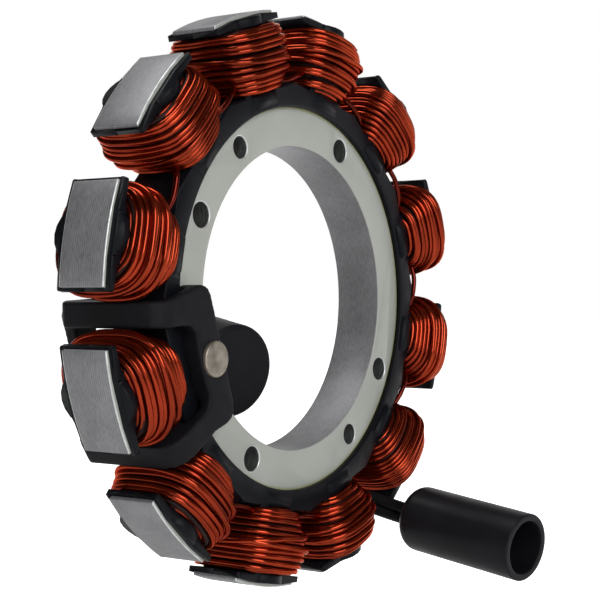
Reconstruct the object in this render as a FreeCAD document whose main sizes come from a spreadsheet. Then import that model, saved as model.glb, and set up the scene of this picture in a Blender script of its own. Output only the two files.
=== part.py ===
import FreeCAD, Part
import math
import os

import Sketcher
from FreeCAD import Placement, Rotation, Vector

# Wound stator with outward poles. Lengths are in millimetres and angles in degrees.
# The origin is the bore's centre on the rear mounting face. The bore runs along Y, the front faces -Y
# and Z is up. Every piece of the ring is drawn with a pole on the X axis and then turned in one step.

doc = FreeCAD.newDocument("wound_stator")
sheet = doc.addObject("Spreadsheet::Sheet", "sizes")

driving_sizes = {
    # laminated core
    "bore_radius": 33.7,
    "stack_thickness": 11.5,
    "yoke_width": 11.6,
    "pole_count": 12,
    "first_pole_angle": 18.5,
    "pole_neck_width": 10.0,
    "pole_length": 18.2,
    "shoe_width": 21.0,
    "shoe_thickness": 1.85,
    "neck_root_depth": 2.5,
    # holes in the yoke
    "hole_setback": 4.5,
    "bolt_hole_radius": 2.675,
    "bolt_hole_count": 4,
    "bolt_hole_pitches": 4.5,
    "locating_hole_radius": 2.375,
    "locating_hole_count": 2,
    "locating_hole_pitches": 3.5,
    # moulded insulators
    "rim_land": 2.9,
    "cover_thickness": 1.3,
    "bobbin_wall": 1.0,
    "rim_step_height": 0.9,
    "rim_step_width": 9.0,
    "rim_step_slope": 1.2,
    "flange_depth": 1.0,
    "flange_overhang": 0.6,
    "flange_lip": 0.6,
    "halves_gap": 0.2,
    "tab_chord": 9.0,
    "tab_height": 1.9,
    "tab_thickness": 1.9,
    "tab_sides": 6,
    # coils
    "winding_clearance": 0.1,
    "turn_count": 6,
    "turn_groove": 0.5,
    "coil_inner_gap": 4.9,
    "coil_outer_gap": 6.2,
    "coil_width_bulge": 2.2,
    "coil_inner_overhang": 4.2,
    "coil_outer_overhang": 4.4,
    "coil_overhang_bulge": 1.9,
    "coil_crest_share": 0.65,
    "coil_fullness": 0.8,
    "coil_corner_radius": 6.5,
    "coil_corner_steps": 2,
    # wire that crosses from coil to coil
    "wire_radius": 0.62,
    "crossing_setback": 1.2,
    "crossing_lift": 1.0,
    "crossing_end_gap": 0.25,
    "crossing_sides": 6,
    # lead clip around the first coil
    "clip_bore_setback": 1.2,
    "clip_rim_gap": 0.2,
    "clip_thickness": 5.0,
    "clip_upper_end": 15.6,
    "clip_lower_end": 14.0,
    "clip_corner_radius": 3.2,
    "clip_window_radius": 3.0,
    "arm_width": 5.3,
    "arm_clearance": 0.3,
    "upper_arm_setback": 6.65,
    "lower_arm_setback": 3.65,
    "arm_front_radius": 4.5,
    "arm_rear_chamfer": 3.5,
    "band_clearance": 2.4,
    "band_thickness": 3.0,
    "band_setback": 3.3,
    "band_width": 6.5,
    # rivet
    "rivet_radius": 2.0,
    "rivet_clearance": 0.05,
    "rivet_head_radius": 3.7,
    "rivet_head_height": 0.9,
    "rivet_tail_radius": 3.3,
    "rivet_tail_height": 1.2,
    # rubber boot behind the bore
    "boot_radius": 10.7,
    "boot_length": 25.0,
    "boot_edge_chamfer": 1.0,
    "boot_face_gap": 3.4,
    "boot_across": -3.7,
    "boot_height": -16.5,
    "boot_lean_across": 14.0,
    "boot_lean_up": 9.8,
    "boot_neck_radius": 2.8,
    "boot_neck_height": 3.5,
    "boot_neck_straight": 9.0,
    # connector shroud at the end of the two leads
    "shroud_radius": 7.6,
    "shroud_length": 31.9,
    "shroud_wall": 1.65,
    "shroud_back_wall": 7.0,
    "shroud_back_chamfer": 2.2,
    "shroud_mouth_across": 28.4,
    "shroud_mouth_reach": 42.0,
    "shroud_mouth_height": -55.4,
    "shroud_lean_across": 8.3,
    "shroud_lean_up": 6.8,
    # leads and their contacts
    "lead_slot": 8.5,
    "lead_radius": 1.15,
    "lead_sides": 12,
    "lead_clearance": 0.05,
    "lead_spread": 1.35,
    "lead_depth": 5.0,
    "bend_share": 0.35,
    "lead_straight": 4.0,
    "lead_turn_angle": 60.0,
    "lead_turn_setback": 3.5,
    "lead_end_clearance": 0.1,
    "lead_flange_setback": 2.05,
    "contact_radius": 0.9,
    "contact_length": 7.0,
}
# Radii that follow from the sizes above, from the bore outwards
derived_sizes = {
    "hole_circle_radius": "bore_radius + hole_setback",
    "yoke_radius": "bore_radius + yoke_width",
    "rim_radius": "yoke_radius - rim_land",
    "rim_apothem": "yoke_radius + bobbin_wall",
    "pole_tip_radius": "yoke_radius + pole_length",
    "flange_seat": "pole_tip_radius - shoe_thickness - flange_depth",
    "crossing_place": "rim_apothem + crossing_setback",
    "clip_near_edge": "bore_radius + clip_bore_setback",
    "clip_seat_radius": "rim_radius - clip_rim_gap",
    "upper_arm_reach": "flange_seat - upper_arm_setback",
    "lower_arm_reach": "flange_seat - lower_arm_setback",
    "band_inner": "rim_apothem - band_setback",
    "band_outer": "band_inner + band_width",
}
cells = {alias: str(number) for alias, number in driving_sizes.items()}
cells.update({alias: f"={formula}" for alias, formula in derived_sizes.items()})
for row, (alias, content) in enumerate(cells.items(), start=1):
    sheet.set(f"A{row}", alias)
    sheet.set(f"B{row}", content)
    sheet.setAlias(f"B{row}", alias)
doc.recompute()


def size(alias):
    """Read one size from the sheet."""
    return float(getattr(sheet, alias))


def worked(expression):
    """Work out an expression on the sheet's sizes."""
    result = sheet.evalExpression(expression.replace("sizes.", ""))
    return float(getattr(result, "Value", result))


def origin_feature(body, role):
    return next(item for item in body.Origin.OriginFeatures if item.Role == role)


def new_body(label, placement):
    body = doc.addObject("PartDesign::Body", label)
    body.Label = label
    body.Placement = placement
    return body


def new_sketch(body, name, role="XZ_Plane", offset=None):
    """Attach a sketch to one of the body's own planes, moved along the plane's normal by offset."""
    sketch = body.newObject("Sketcher::SketchObject", name)
    sketch.AttachmentSupport = [(origin_feature(body, role), "")]
    sketch.MapMode = "FlatFace"
    if offset:
        sketch.setExpression("AttachmentOffset.Base.z", offset)
    return sketch


def bind(sketch, constraint, name, expression):
    """Add a dimension to a sketch and tie it to the sheet."""
    sketch.addConstraint(constraint)
    sketch.renameConstraint(sketch.ConstraintCount - 1, name)
    sketch.setExpression(f"Constraints.{name}", expression)


def add_circle(sketch, name, radius, across=None, up=None):
    """Draw a circle, about the origin unless its centre is given."""
    centre = Vector(worked(across), worked(up), 0) if across else Vector(0, 0, 0)
    circle = sketch.addGeometry(Part.Circle(centre, Vector(0, 0, 1), worked(radius)))
    bind(sketch, Sketcher.Constraint("Radius", circle, worked(radius)), f"{name}_radius", radius)
    if across:
        bind(sketch, Sketcher.Constraint("DistanceX", -1, 1, circle, 3, centre.x), f"{name}_across", across)
        bind(sketch, Sketcher.Constraint("DistanceY", -1, 1, circle, 3, centre.y), f"{name}_up", up)
    else:
        sketch.addConstraint(Sketcher.Constraint("Coincident", circle, 3, -1, 1))
    return circle


def add_outline(sketch, name, corners, arcs=None):
    """Draw a closed outline through corners given as pairs of expressions.

    arcs maps the number of a side to the radius of its arc about the sketch's origin. A corner at the
    end of an arc is held by its height and the arc's radius, any other by both its distances.
    """
    arcs = arcs or {}
    spots = [Vector(worked(across), worked(up), 0) for across, up in corners]
    count = len(spots)
    sides = []
    for number, start in enumerate(spots):
        end = spots[(number + 1) % count]
        if number in arcs:
            radius = worked(arcs[number])
            angles = [math.atan2(start.y, start.x), math.atan2(end.y, end.x)]
            forward = (angles[1] - angles[0]) % math.tau < math.pi
            if not forward:
                angles.reverse()
            circle = Part.Circle(Vector(0, 0, 0), Vector(0, 0, 1), radius)
            side = sketch.addGeometry(Part.ArcOfCircle(circle, angles[0], angles[1]))
            sketch.addConstraint(Sketcher.Constraint("Coincident", side, 3, -1, 1))
            curve = Sketcher.Constraint("Radius", side, radius)
            bind(sketch, curve, f"{name}_radius_{number}", arcs[number])
            sides.append((side, 1 if forward else 2, 2 if forward else 1))
        else:
            side = sketch.addGeometry(Part.LineSegment(start, end))
            sides.append((side, 1, 2))
    for number, (side, first, last) in enumerate(sides):
        following = sides[(number + 1) % count]
        sketch.addConstraint(Sketcher.Constraint("Coincident", side, last, following[0], following[1]))
        across, up = corners[number]
        on_arc = number in arcs or (number - 1) % count in arcs
        if not on_arc:
            distance = Sketcher.Constraint("DistanceX", -1, 1, side, first, spots[number].x)
            bind(sketch, distance, f"{name}_across_{number}", across)
        distance = Sketcher.Constraint("DistanceY", -1, 1, side, first, spots[number].y)
        bind(sketch, distance, f"{name}_up_{number}", up)


def pad(body, sketch, name, length, backwards=False):
    """Pad a sketch towards the front, or backwards towards the rear."""
    feature = body.newObject("PartDesign::Pad", name)
    feature.Profile = sketch
    feature.Reversed = backwards
    feature.setExpression("Length", length)
    body.Tip = feature
    return feature


def pocket_through(body, sketch, name):
    feature = body.newObject("PartDesign::Pocket", name)
    feature.Profile = sketch
    feature.Type = "ThroughAll"
    feature.Midplane = True
    body.Tip = feature
    return feature


def around(body, features, name, count):
    """Repeat features evenly about the bore's axis."""
    pattern = body.newObject("PartDesign::PolarPattern", name)
    pattern.Originals = features
    pattern.Axis = (origin_feature(body, "Y_Axis"), [""])
    pattern.Angle = 360
    pattern.setExpression("Occurrences", count)
    body.Tip = pattern
    return pattern


def revolve(body, sketch, name):
    """Turn a profile about the body's own X axis."""
    feature = body.newObject("PartDesign::Revolution", name)
    feature.Profile = sketch
    feature.ReferenceAxis = (origin_feature(body, "X_Axis"), [""])
    feature.Angle = 360
    body.Tip = feature
    return feature


def new_solid(label, shape, placement=Placement()):
    """Hold a shape that is worked out in code."""
    piece = doc.addObject("Part::Feature", label)
    piece.Label = label
    piece.Shape = shape
    piece.Placement = placement
    return piece


# Shared places
ring_turn = Rotation(Vector(0, -1, 0), size("first_pole_angle"))
pole_pitch = 360.0 / size("pole_count")
front_face = -size("stack_thickness")
on_rear_face = Placement(Vector(0, 0, 0), ring_turn)
on_front_face = Placement(Vector(0, front_face, 0), ring_turn)
clip_pole = int(size("pole_count")) // 2
clip_turn = Rotation(Vector(0, -1, 0), size("first_pole_angle") + clip_pole * pole_pitch)
pieces = []


def at_pitch(pitches, radius):
    """Give the expressions of a point on a circle, a number of pole pitches round from the X axis."""
    angle = f"{pitches} * 360deg / sizes.pole_count"
    return f"{radius} * cos({angle})", f"{radius} * sin({angle})"


# Laminated core
def make_core():
    core = new_body("core_stack", on_rear_face)

    yoke_sketch = new_sketch(core, "yoke_outline")
    add_circle(yoke_sketch, "yoke", "sizes.yoke_radius")
    add_circle(yoke_sketch, "bore", "sizes.bore_radius")
    pad(core, yoke_sketch, "yoke", "sizes.stack_thickness")

    shoe_underside = "(sizes.pole_tip_radius - sizes.shoe_thickness)"
    root = "sizes.yoke_radius - sizes.neck_root_depth"
    half_neck = "sizes.pole_neck_width / 2"
    half_shoe = "sizes.shoe_width / 2"
    tip_end = f"sqrt(sizes.pole_tip_radius^2 - ({half_shoe})^2)"
    pole_sketch = new_sketch(core, "pole_outline")
    add_outline(
        pole_sketch,
        "pole",
        [
            (root, f"-{half_neck}"),
            (shoe_underside, f"-{half_neck}"),
            (shoe_underside, f"-{half_shoe}"),
            (tip_end, f"-{half_shoe}"),
            (tip_end, half_shoe),
            (shoe_underside, half_shoe),
            (shoe_underside, half_neck),
            (root, half_neck),
        ],
        arcs={3: "sizes.pole_tip_radius"},
    )
    pole = pad(core, pole_sketch, "pole", "sizes.stack_thickness")
    around(core, [pole], "poles", "sizes.pole_count")

    for name, pitches, count in (
        ("bolt_hole", "sizes.bolt_hole_pitches", "sizes.bolt_hole_count"),
        ("locating_hole", "sizes.locating_hole_pitches", "sizes.locating_hole_count"),
    ):
        hole_sketch = new_sketch(core, f"{name}_outline")
        across, up = at_pitch(pitches, "sizes.hole_circle_radius")
        add_circle(hole_sketch, name, f"sizes.{name}_radius", across, up)
        hole = pocket_through(core, hole_sketch, name)
        around(core, [hole], f"{name}s", count)

    rivet_sketch = new_sketch(core, "rivet_hole_outline")
    across, up = at_pitch("floor(sizes.pole_count / 2)", "sizes.hole_circle_radius")
    add_circle(rivet_sketch, "rivet_hole", "sizes.rivet_radius + sizes.rivet_clearance", across, up)
    pocket_through(core, rivet_sketch, "rivet_hole")
    pieces.append(core)


# Moulded insulators, one moulding used on both faces
def add_rim_polygon(sketch, name):
    """Draw the rim's outline: one flat at every pole and a corner in every slot."""
    corner_radius = "sizes.rim_apothem / cos(180deg / sizes.pole_count)"
    corners = [at_pitch(f"({number} + 0.5)", corner_radius) for number in range(int(size("pole_count")))]
    add_outline(sketch, name, corners)


def make_insulator(label, placement):
    insulator = new_body(label, placement)
    wall_depth = "(sizes.stack_thickness - sizes.halves_gap) / 2"

    rim_sketch = new_sketch(insulator, "rim_outline")
    add_rim_polygon(rim_sketch, "rim")
    add_circle(rim_sketch, "ring_edge", "sizes.rim_radius")
    pad(insulator, rim_sketch, "rim", "sizes.cover_thickness")

    liner_sketch = new_sketch(insulator, "liner_outline")
    add_rim_polygon(liner_sketch, "liner")
    add_circle(liner_sketch, "yoke_edge", "sizes.yoke_radius")
    pad(insulator, liner_sketch, "slot_liner", wall_depth, backwards=True)
    opening_sketch = new_sketch(insulator, "neck_opening_outline")
    add_outline(
        opening_sketch,
        "opening",
        [
            ("sizes.rim_radius", "-sizes.pole_neck_width / 2"),
            ("sizes.flange_seat", "-sizes.pole_neck_width / 2"),
            ("sizes.flange_seat", "sizes.pole_neck_width / 2"),
            ("sizes.rim_radius", "sizes.pole_neck_width / 2"),
        ],
    )
    opening = insulator.newObject("PartDesign::Pocket", "neck_opening")
    opening.Profile = opening_sketch
    opening.setExpression("Length", wall_depth)
    insulator.Tip = opening
    around(insulator, [opening], "neck_openings", "sizes.pole_count")

    half_neck = "(sizes.pole_neck_width / 2)"
    half_bobbin = f"({half_neck} + sizes.bobbin_wall)"
    half_flange = "(sizes.shoe_width / 2 + sizes.flange_overhang)"
    underside = "(sizes.pole_tip_radius - sizes.shoe_thickness)"
    lip_radius = f"(sizes.pole_tip_radius - sizes.flange_lip)"
    lip_end = f"sqrt({lip_radius}^2 - {half_flange}^2)"
    lip_middle = f"sqrt({lip_radius}^2 - {half_neck}^2)"
    cover_sketch = new_sketch(insulator, "cover_outline")
    add_outline(
        cover_sketch,
        "cover",
        [
            ("sizes.rim_radius + sizes.bobbin_wall", f"-{half_bobbin}"),
            ("sizes.flange_seat", f"-{half_bobbin}"),
            ("sizes.flange_seat", f"-{half_flange}"),
            (lip_end, f"-{half_flange}"),
            (lip_middle, f"-{half_neck}"),
            (lip_middle, half_neck),
            (lip_end, half_flange),
            ("sizes.flange_seat", half_flange),
            ("sizes.flange_seat", half_bobbin),
            ("sizes.rim_radius + sizes.bobbin_wall", half_bobbin),
        ],
    )
    cover = pad(insulator, cover_sketch, "bobbin_cover", "sizes.cover_thickness")

    step_root = "sizes.rim_radius + sizes.bobbin_wall"
    step_sketch = new_sketch(insulator, "rim_step_outline", "YZ_Plane", step_root)
    half_step = "(sizes.rim_step_width / 2)"
    step_front = "(sizes.cover_thickness + sizes.rim_step_height)"
    add_outline(
        step_sketch,
        "rim_step",
        [
            ("-sizes.cover_thickness / 2", f"-{half_step}"),
            ("-sizes.cover_thickness", f"-{half_step}"),
            (f"-{step_front}", f"sizes.rim_step_slope - {half_step}"),
            (f"-{step_front}", f"{half_step} - sizes.rim_step_slope"),
            ("-sizes.cover_thickness", half_step),
            ("-sizes.cover_thickness / 2", half_step),
        ],
    )
    step = pad(insulator, step_sketch, "rim_step", f"sizes.rim_apothem - ({step_root})")

    wall_sketch = new_sketch(insulator, "wall_outline")
    for name, sign in (("upper", ""), ("lower", "-")):
        add_outline(
            wall_sketch,
            name,
            [
                ("sizes.yoke_radius", f"{sign}{half_bobbin}"),
                ("sizes.flange_seat", f"{sign}{half_bobbin}"),
                ("sizes.flange_seat", f"{sign}{half_flange}"),
                (underside, f"{sign}{half_flange}"),
                (underside, f"{sign}{half_neck}"),
                ("sizes.yoke_radius", f"{sign}{half_neck}"),
            ],
        )
    walls = pad(insulator, wall_sketch, "bobbin_walls", wall_depth, backwards=True)

    tab_sketch = new_sketch(insulator, "tab_outline", "YZ_Plane", "sizes.flange_seat")
    add_tab_outline(tab_sketch)
    tab = pad(insulator, tab_sketch, "tab", "sizes.tab_thickness")
    around(insulator, [cover, step, walls, tab], "bobbins", "sizes.pole_count")
    pieces.append(insulator)


def add_tab_outline(sketch):
    """Draw the half-moon tab: short chords of one arc in front of the cover, closed inside the cover."""
    half_chord = "(sizes.tab_chord / 2)"
    depth = "(sizes.cover_thickness / 2 + sizes.tab_height)"
    radius = f"({half_chord}^2 + {depth}^2) / (2 * {depth})"
    spread = f"2 * atan({depth} / {half_chord})"
    tip = f"-sizes.cover_thickness / 2 - {depth}"
    sides = int(size("tab_sides"))
    corners = []
    for number in range(sides + 1):
        turn = f"({spread} * (1 - 2 * {number} / {sides}))"
        corners.append((f"{tip} + {radius} * (1 - cos({turn}))", f"{radius} * sin({turn})"))
    add_outline(sketch, "tab", corners)


# Coils, each one solid ring of wire whose turns are ridges
def coil_section(place, half_width, half_length, corner):
    """Place the points of one section across the pole, a rectangle with stepped round corners."""
    middle = -size("stack_thickness") / 2
    points = []
    for quarter, (side, end) in enumerate(((1, 1), (-1, 1), (-1, -1), (1, -1))):
        for step in range(int(size("coil_corner_steps")) + 1):
            angle = (quarter + step / size("coil_corner_steps")) * math.pi / 2
            along = middle + end * (half_length - corner) + corner * math.sin(angle)
            across = side * (half_width - corner) + corner * math.cos(angle)
            points.append(Vector(place, along, across))
    return points


def flat_face(points):
    return Part.Face(Part.makePolygon(points + points[:1]))


def skinned(sections):
    """Make a solid of flat faces between sections that have the same number of points."""
    faces = [flat_face(sections[0]), flat_face(sections[-1])]
    for near, far in zip(sections, sections[1:]):
        for number, start in enumerate(near):
            after = (number + 1) % len(near)
            faces.append(flat_face([start, near[after], far[after], far[number]]))
    return Part.makeSolid(Part.makeShell(faces))


def coil_span():
    inner = size("rim_apothem") + size("winding_clearance")
    outer = size("flange_seat") - size("winding_clearance")
    return inner, outer


def coil_crest(share):
    """Give the half width and the overhang of the turns, a share of the way out along the pole.

    The width leaves a gap to the slot's middle and is fullest half way out. The overhang is fullest
    at the crest's share.
    """
    inner, outer = coil_span()
    half_pitch = (inner + (outer - inner) * share) * math.tan(math.radians(pole_pitch / 2))
    skew = math.log(0.5) / math.log(size("coil_crest_share"))
    widening = math.sin(math.pi * share) ** size("coil_fullness")
    rise = math.sin(math.pi * share**skew) ** size("coil_fullness")
    gap = size("coil_inner_gap") * (1 - share) + size("coil_outer_gap") * share
    half_width = half_pitch - gap + size("coil_width_bulge") * widening
    overhang = size("coil_inner_overhang") * (1 - share) + size("coil_outer_overhang") * share
    return half_width, overhang + size("coil_overhang_bulge") * rise


def coil_shape():
    inner, outer = coil_span()
    steps = 2 * int(size("turn_count"))
    sections = []
    for step in range(steps + 1):
        share = step / steps
        groove = size("turn_groove") if step % 2 == 0 else 0.0
        half_width, overhang = coil_crest(share)
        half_length = size("stack_thickness") / 2 + overhang
        corner = size("coil_corner_radius")
        place = inner + (outer - inner) * share
        sections.append(coil_section(place, half_width - groove, half_length - groove, corner - groove))
    neck_half = size("pole_neck_width") / 2 + size("bobbin_wall") + size("winding_clearance")
    neck_reach = size("cover_thickness") + size("winding_clearance")
    window = Part.makeBox(
        outer - inner,
        size("stack_thickness") + 2 * neck_reach,
        2 * neck_half,
        Vector(inner, -size("stack_thickness") - neck_reach, -neck_half),
    )
    return skinned(sections).cut(window)


def make_coils():
    shape = coil_shape()
    for number in range(int(size("pole_count"))):
        turn = Rotation(Vector(0, -1, 0), pole_angle(number))
        label = f"coil_{number + 1:02d}"
        pieces.append(new_solid(label, shape.copy(), Placement(Vector(0, 0, 0), turn)))


def pole_angle(number):
    """Give the angle of a pole, counted clockwise from the one that the lead clip surrounds."""
    return size("first_pole_angle") + (clip_pole - number) * pole_pitch


def spoke(angle, radius, sideways, forward):
    """Place a point by its radius along a spoke, its offset across the spoke and its place along Y."""
    turn = math.radians(angle)
    return Vector(
        radius * math.cos(turn) - sideways * math.sin(turn),
        forward,
        radius * math.sin(turn) + sideways * math.cos(turn),
    )


def bar(points, radius, sides):
    """Run a bar of many flat sides through the points, with mitred corners."""
    turn = Rotation(Vector(0, 0, 1), points[1] - points[0])
    section = []
    for number in range(int(sides)):
        angle = math.tau * number / int(sides)
        section.append(points[0] + turn.multVec(Vector(math.cos(angle), math.sin(angle), 0)) * radius)
    sections = [section]
    for number, here in enumerate(points[1:], start=1):
        onward = (here - points[number - 1]).normalize()
        after = (points[number + 1] - here).normalize() if number + 1 < len(points) else onward
        mitre = (onward + after).normalize()
        section = [spot + onward * ((here - spot).dot(mitre) / onward.dot(mitre)) for spot in section]
        sections.append(section)
    return skinned(sections)


def eased(points):
    """Cut every corner of a path with one short run."""
    path = [points[0]]
    for before, corner, after in zip(points, points[1:], points[2:]):
        setback = size("bend_share") * min((before - corner).Length, (after - corner).Length)
        path.append(corner + (before - corner).normalize() * setback)
        path.append(corner + (after - corner).normalize() * setback)
    return path + [points[-1]]


# Wires that cross the slots from coil to coil
def make_crossings():
    inner, outer = coil_span()
    half_width = coil_crest((size("crossing_place") - inner) / (outer - inner))[0]
    half_slot = math.radians(pole_pitch / 2)
    radius = size("crossing_place") / math.cos(half_slot)
    half_gap = (size("crossing_place") * math.tan(half_slot) - half_width) * math.cos(half_slot)
    half_gap -= size("crossing_end_gap")
    forward = front_face - size("crossing_lift")
    count = int(size("pole_count"))
    kept_free = {0.5, count - 0.5, size("lead_slot")}
    wires = []
    for number in range(count):
        slot = number + 0.5
        if slot in kept_free:
            continue
        start = spoke(pole_angle(slot), radius, -half_gap, forward)
        end = spoke(pole_angle(slot), radius, half_gap, forward)
        wires.append(bar([start, end], size("wire_radius"), size("crossing_sides")))
    pieces.append(new_solid("coil_crossings", Part.makeCompound(wires)))


# Lead clip, a closed frame around the first coil
def band_near():
    """Give how far behind the ring's front face the clip's rear band begins, clear of the coil's crest."""
    inner = "sizes.coil_inner_overhang * (1 - sizes.coil_crest_share)"
    outer = "sizes.coil_outer_overhang * sizes.coil_crest_share"
    crest = f"{inner} + {outer} + sizes.coil_overhang_bulge"
    return f"(sizes.stack_thickness + {crest} + sizes.band_clearance)"


def clip_corners(end, sign):
    """Give the rounded corner at one end of the clip's plate, from the bore's side outwards."""
    near = "sizes.clip_near_edge"
    corner = "sizes.clip_corner_radius"
    points = []
    for turn in ("0deg", "30deg", "60deg", "90deg"):
        across = f"{near} + {corner} * (1 - cos({turn}))"
        points.append((across, f"{sign}({end} - {corner} * (1 - sin({turn})))"))
    return points


def make_clip():
    clip = new_body("lead_clip", Placement(Vector(0, front_face, 0), clip_turn))
    seat = "sizes.clip_seat_radius"
    upper, lower = "sizes.clip_upper_end", "sizes.clip_lower_end"
    upper_corner = clip_corners(upper, "-")
    lower_corner = clip_corners(lower, "")

    seat_sketch = new_sketch(clip, "seat_outline")
    add_outline(
        seat_sketch,
        "seat",
        [
            *upper_corner,
            (f"sqrt({seat}^2 - {upper}^2)", f"-{upper}"),
            (f"sqrt({seat}^2 - {lower}^2)", lower),
            *reversed(lower_corner),
        ],
        arcs={4: seat},
    )
    pad(clip, seat_sketch, "seat", "sizes.clip_thickness")

    cover_front = "(sizes.cover_thickness + sizes.rim_step_height + sizes.arm_clearance)"
    slope = "tan(180deg / sizes.pole_count)"
    half_arm = "(sizes.arm_width / 2 / cos(180deg / sizes.pole_count))"
    window = "sizes.clip_window_radius"
    window_end = f"({seat} * {slope} - {half_arm} - {window} * 2 / 3)"
    upper_meet = f"({upper} - {half_arm}) / {slope}"
    window_side = [
        (f"{seat} + {window}", f"({seat} + {window}) * {slope} - {half_arm}"),
        (f"{seat} + {window} / 4", f"{seat} * {slope} - {half_arm}"),
        (f"sqrt({seat}^2 - {window_end}^2)", window_end),
    ]
    plate_sketch = new_sketch(clip, "plate_outline", offset=cover_front)
    add_outline(
        plate_sketch,
        "plate",
        [
            *upper_corner,
            (upper_meet, f"-{upper}"),
            (upper_meet, f"-{upper_meet} * {slope}"),
            *((across, f"-({up})") for across, up in window_side),
            *reversed(window_side),
            (upper_meet, f"{upper_meet} * {slope}"),
            (f"({lower} - {half_arm}) / {slope}", lower),
            *reversed(lower_corner),
        ],
        arcs={8: seat},
    )
    pad(clip, plate_sketch, "plate", f"sizes.clip_thickness - {cover_front}")

    rear = f"({band_near()} + sizes.band_thickness)"
    slot_start = "(sizes.rim_apothem / cos(180deg / sizes.pole_count) + sizes.arm_clearance)"
    plate_middle = f"({seat} + sizes.clip_near_edge) / 2"
    front = "sizes.arm_front_radius"
    for name, side in (("upper_arm", -1), ("lower_arm", 1)):
        reach = f"sizes.{name}_reach"
        arm_sketch = new_sketch(clip, f"{name}_outline", "XY_Plane")
        turn = Rotation(Vector(0, -1, 0), side * pole_pitch / 2)
        arm_sketch.AttachmentOffset = Placement(Vector(0, 0, 0), turn)
        front_corner = [
            (f"{reach} - {front} * (1 - sin({turn}))", f"{front} * (1 - cos({turn})) - sizes.clip_thickness")
            for turn in ("0deg", "30deg", "60deg", "90deg")
        ]
        add_outline(
            arm_sketch,
            name,
            [
                (plate_middle, "-sizes.clip_thickness"),
                *front_corner,
                (reach, f"{rear} - sizes.arm_rear_chamfer"),
                (f"{reach} - sizes.arm_rear_chamfer", rear),
                ("sizes.band_inner", rear),
                ("sizes.band_inner", band_near()),
                (slot_start, band_near()),
                (slot_start, f"-{cover_front}"),
                (plate_middle, f"-{cover_front}"),
            ],
        )
        arm = pad(clip, arm_sketch, name, "sizes.arm_width")
        arm.Midplane = True

    band_sketch = new_sketch(clip, "band_outline", offset=f"-{rear}")
    lean = "tan(180deg / sizes.pole_count)"
    add_outline(
        band_sketch,
        "band",
        [
            ("sizes.band_inner", f"-sizes.band_inner * {lean}"),
            ("sizes.band_outer", f"-sizes.band_outer * {lean}"),
            ("sizes.band_outer", f"sizes.band_outer * {lean}"),
            ("sizes.band_inner", f"sizes.band_inner * {lean}"),
        ],
    )
    pad(clip, band_sketch, "band", "sizes.band_thickness")

    rivet_sketch = new_sketch(clip, "rivet_hole_outline")
    add_circle(rivet_sketch, "rivet_hole", "sizes.rivet_radius + sizes.rivet_clearance",
               "sizes.hole_circle_radius", "0")
    rivet_hole = clip.newObject("PartDesign::Pocket", "rivet_hole")
    rivet_hole.Profile = rivet_sketch
    rivet_hole.Reversed = True
    rivet_hole.setExpression("Length", "sizes.clip_thickness")
    clip.Tip = rivet_hole
    pieces.append(clip)


# Rivet that holds the clip's plate on the yoke, turned about its own X axis
def make_rivet():
    centre = spoke(pole_angle(0), size("hole_circle_radius"), 0, front_face - size("clip_thickness"))
    rivet = new_body("clip_rivet", Placement(centre, Rotation(Vector(1, 0, 0), Vector(0, 1, 0))))
    grip = "(sizes.clip_thickness + sizes.stack_thickness)"
    sketch = new_sketch(rivet, "rivet_outline", "XY_Plane")
    add_outline(
        sketch,
        "rivet",
        [
            ("-sizes.rivet_head_height", "0"),
            ("-sizes.rivet_head_height", "sizes.rivet_head_radius"),
            ("0", "sizes.rivet_head_radius"),
            ("0", "sizes.rivet_radius"),
            (grip, "sizes.rivet_radius"),
            (grip, "sizes.rivet_tail_radius"),
            (f"{grip} + sizes.rivet_tail_height", "sizes.rivet_tail_radius"),
            (f"{grip} + sizes.rivet_tail_height", "0"),
        ],
    )
    revolve(rivet, sketch, "rivet")
    pieces.append(rivet)


def leaning(across, up):
    """Give the direction towards the rear that leans across and up by two angles."""
    lean = Vector(math.tan(math.radians(across)), 1, math.tan(math.radians(up)))
    return lean.normalize()


# Rubber boot behind the bore, moulded with a neck that seats on the clip's rear band
def make_boot():
    face_centre = Vector(size("boot_across"), size("boot_face_gap"), size("boot_height"))
    axis = leaning(size("boot_lean_across"), size("boot_lean_up"))
    chamfer = size("boot_edge_chamfer")
    nose = Part.makeCone(size("boot_radius") - chamfer, size("boot_radius"), chamfer, face_centre, axis)
    straight = size("boot_length") - chamfer
    body = nose.fuse(Part.makeCylinder(size("boot_radius"), straight, face_centre + axis * chamfer, axis))

    band_middle = front_face + worked(band_near()) + size("band_thickness") / 2
    clip_angle = pole_angle(0)
    neck_height = size("boot_neck_height")
    start = spoke(clip_angle, size("band_inner"), neck_height, band_middle)
    bend = spoke(clip_angle, size("band_inner") - size("boot_neck_straight"), neck_height, band_middle)
    inside = face_centre + axis * ((band_middle - face_centre.y) / axis.y)
    neck = bar(eased([start, bend, inside]), size("boot_neck_radius"), size("lead_sides"))
    pieces.append(new_solid("lead_boot", body.fuse(neck).removeSplitter()))


# Connector shroud, its two contacts and the leads that enter its back
shroud_axis = leaning(size("shroud_lean_across"), size("shroud_lean_up"))
shroud_mouth = Vector(
    size("shroud_mouth_across"),
    front_face - size("shroud_mouth_reach"),
    size("shroud_mouth_height"),
)
shroud_turn = Rotation(Vector(1, 0, 0), shroud_axis)


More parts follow.
